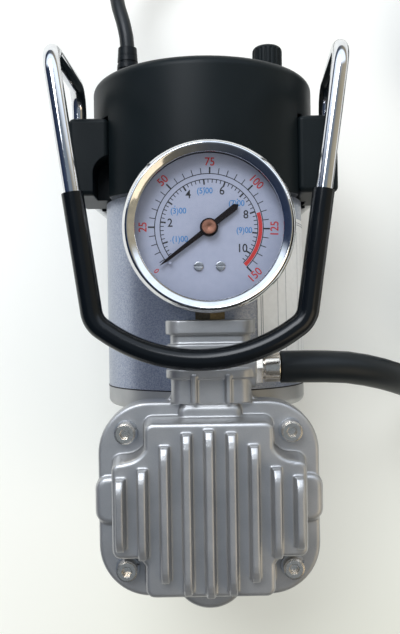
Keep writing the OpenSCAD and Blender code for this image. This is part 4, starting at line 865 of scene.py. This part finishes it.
# a skin whose colour, roughness and bump follow noises; each noise is its scale and detail,
# the first one drives colour and roughness, the last one the bump
def makeSkin(name, values, noises, stops=None, rough=None, bump=None, edge=0.0, stretch=None):
    material, tree, shader, coords = newMaterial(name, values)
    if stretch:
        coords = addNode(tree, "Mapping", {"Scale": stretch, "Vector": coords}).outputs[0]
    waves = [addNode(tree, "TexNoise", {"Scale": scale, "Detail": detail, "Vector": coords})
             for scale, detail in noises]
    clouds, grain = waves[0].outputs["Fac"], waves[-1].outputs["Fac"]
    if stops:
        stops = addNode(tree, "ValToRGB", {"stops": stops, "Fac": clouds})
    if rough:
        low, high = rough
        rough = addNode(tree, "MapRange", {"To Min": low, "To Max": high, "Value": clouds})
    if bump:
        deep, high = bump
        bump = addNode(tree, "Bump", {"Strength": deep, "Distance": high, "Height": grain})
    joinSkin(tree, shader, stops, rough, bump, edge)
    return material


# injection moulded nylon: a spark-eroded mould leaves a fine satin grain of about 0.4 mm
def mouldedNylon(name, color, roughLow, roughHigh, edge=0.0006, grainSize=2400.0):
    return makeSkin(name, {"IOR": 1.46, "Specular IOR Level": 0.17},
                    ((45.0, 3.0), (grainSize, 2.0)),
                    ((0.0, tinted(color, 0.8)), (1.0, tinted(color, 1.25))),
                    (roughLow, roughHigh), (0.16, 0.00008), edge)


# plated, ground or turned metal: a bright skin, broken only by faint polishing marks
def brightMetal(name, dark, light, roughLow, roughHigh, marks=900.0, edge=0.0,
                stretch=(1, 1, 1), deep=0.05, metallic=1.0):
    return makeSkin(name, {"Metallic": metallic}, ((marks, 4.0),),
                    ((0.3, hexColor(dark)), (0.7, hexColor(light))),
                    (roughLow, roughHigh), (deep, 0.00004), edge, stretch)


# white enamel on steel: smooth, faintly cool, with a slight orange-peel of about 2 mm
def whiteEnamel():
    return makeSkin("whiteDialEnamel", {"IOR": 1.5, "Roughness": 0.35}, ((500.0, 1.0),),
                    ((0.0, hexColor("#A3ABC4")), (1.0, hexColor("#AEB5CC"))),
                    bump=(0.05, 0.00005))


# screen-printed ink, a little uneven where the mesh laid it down
def printedInk(name, color):
    return makeSkin(name, {"IOR": 1.5, "Roughness": 0.5}, ((3000.0, 1.0),),
                    ((0.0, hexColor(color)), (1.0, tinted(color, 1.3, 0.004))))


# extruded rubber or vinyl: satin, with a fine grain and a dusty bloom
def extrudedRubber(name, color, roughLow, roughHigh, grainSize=1500.0, deep=0.2):
    return makeSkin(name, {"IOR": 1.52, "Specular IOR Level": 0.3},
                    ((90.0, 4.0), (grainSize, 2.0)),
                    ((0.0, tinted(color, 0.75)), (1.0, tinted(color, 1.35))),
                    (roughLow, roughHigh), (deep, 0.00008))


# clear polycarbonate: what is behind it shows, with a faint mirror of the room on top
def clearLens():
    values = {"IOR": 1.58, "Alpha": 0.05, "Base Color": hexColor("#16191D")}
    return makeSkin("clearPolycarbonate", values, ((120.0, 3.0),), rough=(0.03, 0.07))


castSkin = blastedAluminium()
castCad = blastedAluminium(0.0005)
lacquer = flakeLacquer()
capNylon = mouldedNylon("blackMouldedNylon", "#10171A", 0.34, 0.45)
partNylon = mouldedNylon("blackAbs", "#101519", 0.3, 0.42, 0.0004)
fanNylon = mouldedNylon("greyFanNylon", "#3A3C40", 0.45, 0.6, 0.0003)
redRocker = mouldedNylon("redGlossAbs", "#A3211F", 0.16, 0.24, 0.0005, 900.0)
gripVinyl = extrudedRubber("glossyDippedVinyl", "#0A0E12", 0.14, 0.24, 700.0, 0.08)
hoseRubber = extrudedRubber("satinHoseRubber", "#10161A", 0.36, 0.48)
cordVinyl = extrudedRubber("blackCordVinyl", "#11161A", 0.32, 0.44)
footRubber = extrudedRubber("mattFootRubber", "#1A1B1C", 0.6, 0.75, 900.0, 0.35)
# dark rubber for the real gaskets and seals, and also for the black ring of painted shade in the
# can's gap
sealRubberAndGapShade = extrudedRubber("darkSealRubberAndGapShade", "#27272A", 0.55, 0.7)
tieRubber = extrudedRubber("wovenTieNylon", "#202226", 0.65, 0.8, 1800.0, 0.5)
chrome = brightMetal("brightChrome", "#D2D4D7", "#E2E3E5", 0.04, 0.09)
handleChrome = brightMetal("drawnChromeWire", "#D6D7DA", "#E6E6E8", 0.05, 0.1, 700.0, 0.0, (1,
                           0.1, 1))
stainless = brightMetal("polishedStainless", "#DAD0C2", "#ECE4D8", 0.16, 0.26, 1500.0, 0.0004)
zincSteel = brightMetal("zincPlatedSteel", "#B4B6BB", "#C6C8CC", 0.24, 0.38, 1200.0, 0.0003)
groundSteel = brightMetal("groundSteel", "#BCBEC3", "#CDCFD3", 0.18, 0.3, 1600.0, 0.0003, (1, 6, 1))
springSteel = brightMetal("blueSpringSteel", "#8796AC", "#A3AFC0", 0.2, 0.3, 1400.0)
darkIron = brightMetal("machinedIron", "#66676B", "#808185", 0.35, 0.5, 1100.0, 0.0004)
pressedPlate = brightMetal("pressedAluminium", "#93969A", "#A6A9AD", 0.3, 0.45, 800.0, 0.0003)
turnedBrass = brightMetal("turnedBrass", "#AE8F50", "#C4A565", 0.16, 0.28, 1300.0, 0.0003)
woundCopper = brightMetal("enamelledCopper", "#8E4E28", "#B56E3E", 0.3, 0.45, 1000.0, 0.0003, (1,
                          5, 1), 0.3)
hubCopper = brightMetal("copperHubLacquer", "#8E6352", "#A67A68", 0.46, 0.58, 1500.0)
bezelChrome = brightMetal("rolledBezelChrome", "#D6D7D9", "#E4E4E5", 0.06, 0.12, 420.0, 0.0, (1,
                          1, 1), 0.16)
ferrite = mouldedNylon("sinteredFerrite", "#35353A", 0.55, 0.7, 0.0004, 1500.0)
carbonBlock = mouldedNylon("pressedCarbon", "#333336", 0.6, 0.75, 0.0003, 1900.0)
whiteSeal = mouldedNylon("whiteSealPlastic", "#E0DCD1", 0.4, 0.5, 0.0003)
gaugeEnamel = mouldedNylon("greyCaseEnamel", "#303238", 0.3, 0.42, 0.0004, 700.0)
pointerEnamel = mouldedNylon("blackPointerEnamel", "#191416", 0.3, 0.4, 0.0002, 900.0)
dialEnamel = whiteEnamel()
lens = clearLens()
blackInk = printedInk("blackDialInk", "#1E1F24")
redInk = printedInk("redDialInk", "#B82A2A")
blueInk = printedInk("blueDialInk", "#2E78B6")
greyInk = printedInk("greyRuleInk", "#6F747C")
plateFoil = brightMetal("silverFoil", "#F3F4F3", "#FAFBFA", 0.4, 0.5, 500.0, metallic=0.1)
# painted shade: a darker copy of the turned brass, for the gauge stem that stands in shade
shadedBrass = brightMetal("shadedBrass", "#6F6550", "#837861", 0.34, 0.48, 1300.0)

finishes = (
    (capNylon, "end_cap fuse_cap handle_clamps"),
    (zincSteel, "cap_screws cover_screws bolt_washers dial_screws clamp_screws"),
    (lacquer, "motor_can"),
    (ferrite, "magnets"),
    (pressedPlate, "motor_end_plate connecting_rod cup_retainer"),
    (groundSteel, "shaft_bearings motor_shaft rod_bearing crank_pin cylinder_sleeve valve_plate"),
    (woundCopper, "armature_core commutator"),
    (fanNylon, "motor_fan"),
    (turnedBrass, "brush_holders bourdon_tube gauge_movement chuck_body chuck_lever"),
    (carbonBlock, "brushes"),
    (castCad, "crankcase crankcase_cover"),
    (darkIron, "crank_web"),
    (whiteSeal, "piston_cup"),
    (sealRubberAndGapShade, "head_gasket chuck_seal"),
    (springSteel, "valve_reeds"),
    (castSkin, "cylinder_head"),
    (stainless, "head_bolts hose_fitting"),
    (gaugeEnamel, "gauge_case"),
    (bezelChrome, "gauge_bezel"),
    (dialEnamel, "gauge_dial"),
    (lens, "gauge_lens fuse"),
    (pointerEnamel, "gauge_pointer"),
    (shadedBrass, "gauge_stem"),
    (hoseRubber, "air_hose air_hose_coil"),
    (cordVinyl, "power_cord power_cord_coil"),
    (partNylon, "cord_gland plug_body rocker_housing fuse_holder"),
    (chrome, "plug_tip plug_contacts"),
    (redRocker, "rocker_switch"),
    (handleChrome, "handle_frame"),
    (gripVinyl, "handle_grip"),
    (footRubber, "foot_sleeve front_feet"),
)


def dress(piece, material):
    if not piece.material_slots:
        piece.data.materials.append(None)
    for place in piece.material_slots:
        place.link = "OBJECT"
        place.material = material


for material, names in finishes:
    for name in names.split():
        dress(nodes[name], material)
pieceFinishes = (
    (headCasting, castSkin, "cast_aluminium", "housing"),
    (handleFrame, handleChrome, "handle_chrome", "housing"),
    (handleGrip, gripVinyl, "grip_vinyl", "housing"),
    (dialBlack, blackInk, "dial_face", "housing"),
    (dialRed, redInk, "dial_face", "housing"),
    (dialBlue, blueInk, "dial_face", "housing"),
    (hubCap, hubCopper, "pointer_black", "pointer"),
    (bezelRing, bezelChrome, "bezel_chrome", "housing"),
    (labelPlate, plateFoil, "can_paint", "housing"),
    (labelRules, greyInk, "can_paint", "housing"),
    (airHose, hoseRubber, "hose_rubber", "housing"),
    (gapShadeRing, sealRubberAndGapShade, "seal_rubber", "housing"),
    (powerCord, cordVinyl, "cord_vinyl", "housing"),
    (hoseTie, tieRubber, "cord_vinyl", "housing"),
    (cordTie, tieRubber, "cord_vinyl", "housing"),
)
for piece, material, slotName, body in pieceFinishes:
    dress(piece, material)
    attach(piece, body)
print("materials set:", len(bpy.data.materials))

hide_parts("air_hose", "air_hose_coil")
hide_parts("power_cord", "power_cord_coil")

# floor, lamps and the room around them, in m
room = {
    "floorSize": 6.0, "floorDrop": 0.0001, "floorDark": "#D9DACC", "floorLight": "#FAFBF8",
    # the floor's painted shadow is darkest round the place given after the lift
    "floorLift": 0.09, "shadeCentre": (0.08, -0.27, 0), "aim": (0, 0, 0.05),
    # name, place, size, power and colour
    "lamps": [("keyLamp", (-0.4, 0.95, 1.35), 0.9, 18.0, "#F6FAFF"),
              ("fillLamp", (0.9, -0.5, 1.1), 0.8, 2.5, "#FFEBCB")],
    # across the walls from the left to the right
    "walls": ((0.0, "#2C3A58"), (0.25, "#4C586F"), (0.5, "#7D838B"), (0.72, "#A8A292"),
              (1.0, "#CBC2AB")),
    "sky": 0.64, "skyColor": "#F7F9FA", "ceiling": "#7F8B98", "ceilingRise": (0.84, 0.94),
    "window": 1.7, "windowColor": "#DDE9F8", "windowRear": (0.3, 0.5),
    "windowRise": (0.2, 0.35),
}
deselectAll()
bpy.ops.mesh.primitive_plane_add(size=room["floorSize"], location=(0, 0, -room["floorDrop"]))
floor = bpy.context.object
floor.name = "floor"
material, tree, shader, coords = newMaterial("paintedTable", {"Roughness": 0.75, "IOR": 1.45})
stain = addNode(tree, "TexNoise", {"Scale": 5.0, "Detail": 2.0, "Vector": coords})
# painted shadow: the table is painted darker round one place near the front, as a soft shadow of
# the body
away = addNode(tree, "VectorMath", {"operation": "DISTANCE", 1: room["shadeCentre"], 0: coords})
paintedShade = addNode(tree, "MapRange", {"From Min": 0.06, "From Max": 0.36, "To Min": -0.2, "To Max": 0.8,
                                  "Value": away.outputs["Value"]})
tone = addNode(tree, "Math", {"operation": "MULTIPLY_ADD", 1: 0.4, 0: stain.outputs["Fac"],
                              2: paintedShade.outputs[0]})
stops = ((0.0, hexColor(room["floorDark"])), (1.0, hexColor(room["floorLight"])))
ramp = addNode(tree, "ValToRGB", {"stops": stops, "Fac": tone.outputs[0]})
joinSkin(tree, shader, ramp)
# the camera sees the table a little paler than the light alone makes it
path = addNode(tree, "LightPath")
lift = addNode(tree, "Math", {"operation": "MULTIPLY", 1: room["floorLift"],
                              0: path.outputs["Is Camera Ray"]})
shader.inputs["Emission Color"].default_value = hexColor("#FFFFFF")
tree.links.new(lift.outputs[0], shader.inputs["Emission Strength"])
dress(floor, material)

for name, place, size, power, color in room["lamps"]:
    lampData = bpy.data.lights.new(name, "AREA")
    lampData.size = size
    lampData.energy = power
    lampData.color = hexColor(color)[:3]
    lamp = addObject(name, lampData)
    lamp.location = place
    aim = Vector(room["aim"]) - Vector(place)
    lamp.rotation_euler = aim.to_track_quat("-Z", "Y").to_euler()

# an even pale room; shiny surfaces see a dim bluish ceiling, a bright window behind the rear end,
# a dark blue wall on the left and a warm one on the right
world = bpy.data.worlds.new("room")
bpy.context.scene.world = world
world.use_nodes = True
tree = world.node_tree
tree.nodes.clear()
facing = addNode(tree, "TexCoord")
axes = addNode(tree, "SeparateXYZ", {"Vector": facing.outputs["Generated"]})
side = addNode(tree, "MapRange", {"From Min": -1.0, "From Max": 1.0, "Value": axes.outputs["X"]})
stops = [(position, hexColor(color)) for position, color in room["walls"]]
walls = addNode(tree, "ValToRGB", {"stops": (stops[0], stops[-1]), "Fac": side.outputs[0]})
for position, color in stops[1:-1]:
    walls.color_ramp.elements.new(position).color = color
toFront = addNode(tree, "MapRange", {"From Min": -0.8, "From Max": 0.1, "To Min": 0.35,
                                     "To Max": 0.8, "Value": axes.outputs["Y"]})
wallGlow = addNode(tree, "Background", {"Color": walls.outputs[0], "Strength": toFront.outputs[0]})
toRear, upward, overhead = (
    addNode(tree, "MapRange", {"interpolation_type": "SMOOTHSTEP", "From Min": low,
                               "From Max": high, "Value": axes.outputs[axis]})
    for axis, low, high in (("Y", *room["windowRear"]), ("Z", *room["windowRise"]),
                            ("Z", *room["ceilingRise"])))
inWindow = addNode(tree, "Math", {"operation": "MULTIPLY", 0: toRear.outputs[0],
                                  1: upward.outputs[0]})
windowGlow = addNode(tree, "Background", {"Color": hexColor(room["windowColor"]),
                                          "Strength": room["window"]})
lit = addNode(tree, "MixShader", {0: inWindow.outputs[0], 1: wallGlow.outputs[0],
                                  2: windowGlow.outputs[0]})
ceiling = addNode(tree, "Background", {"Color": hexColor(room["ceiling"]), "Strength": 1.0})
mirrored = addNode(tree, "MixShader", {0: overhead.outputs[0], 1: lit.outputs[0],
                                       2: ceiling.outputs[0]})
path = addNode(tree, "LightPath")
even = addNode(tree, "Background", {"Color": hexColor(room["skyColor"]), "Strength": room["sky"]})
seen = addNode(tree, "Background", {"Color": hexColor("#FFFFFF"), "Strength": 1.0})
around = addNode(tree, "MixShader", {0: path.outputs["Is Glossy Ray"], 1: even.outputs[0],
                                     2: mirrored.outputs[0]})
backdrop = addNode(tree, "MixShader", {0: path.outputs["Is Camera Ray"], 1: around.outputs[0],
                                       2: seen.outputs[0]})
addNode(tree, "OutputWorld", {"Surface": backdrop.outputs[0]})
print("room lit")
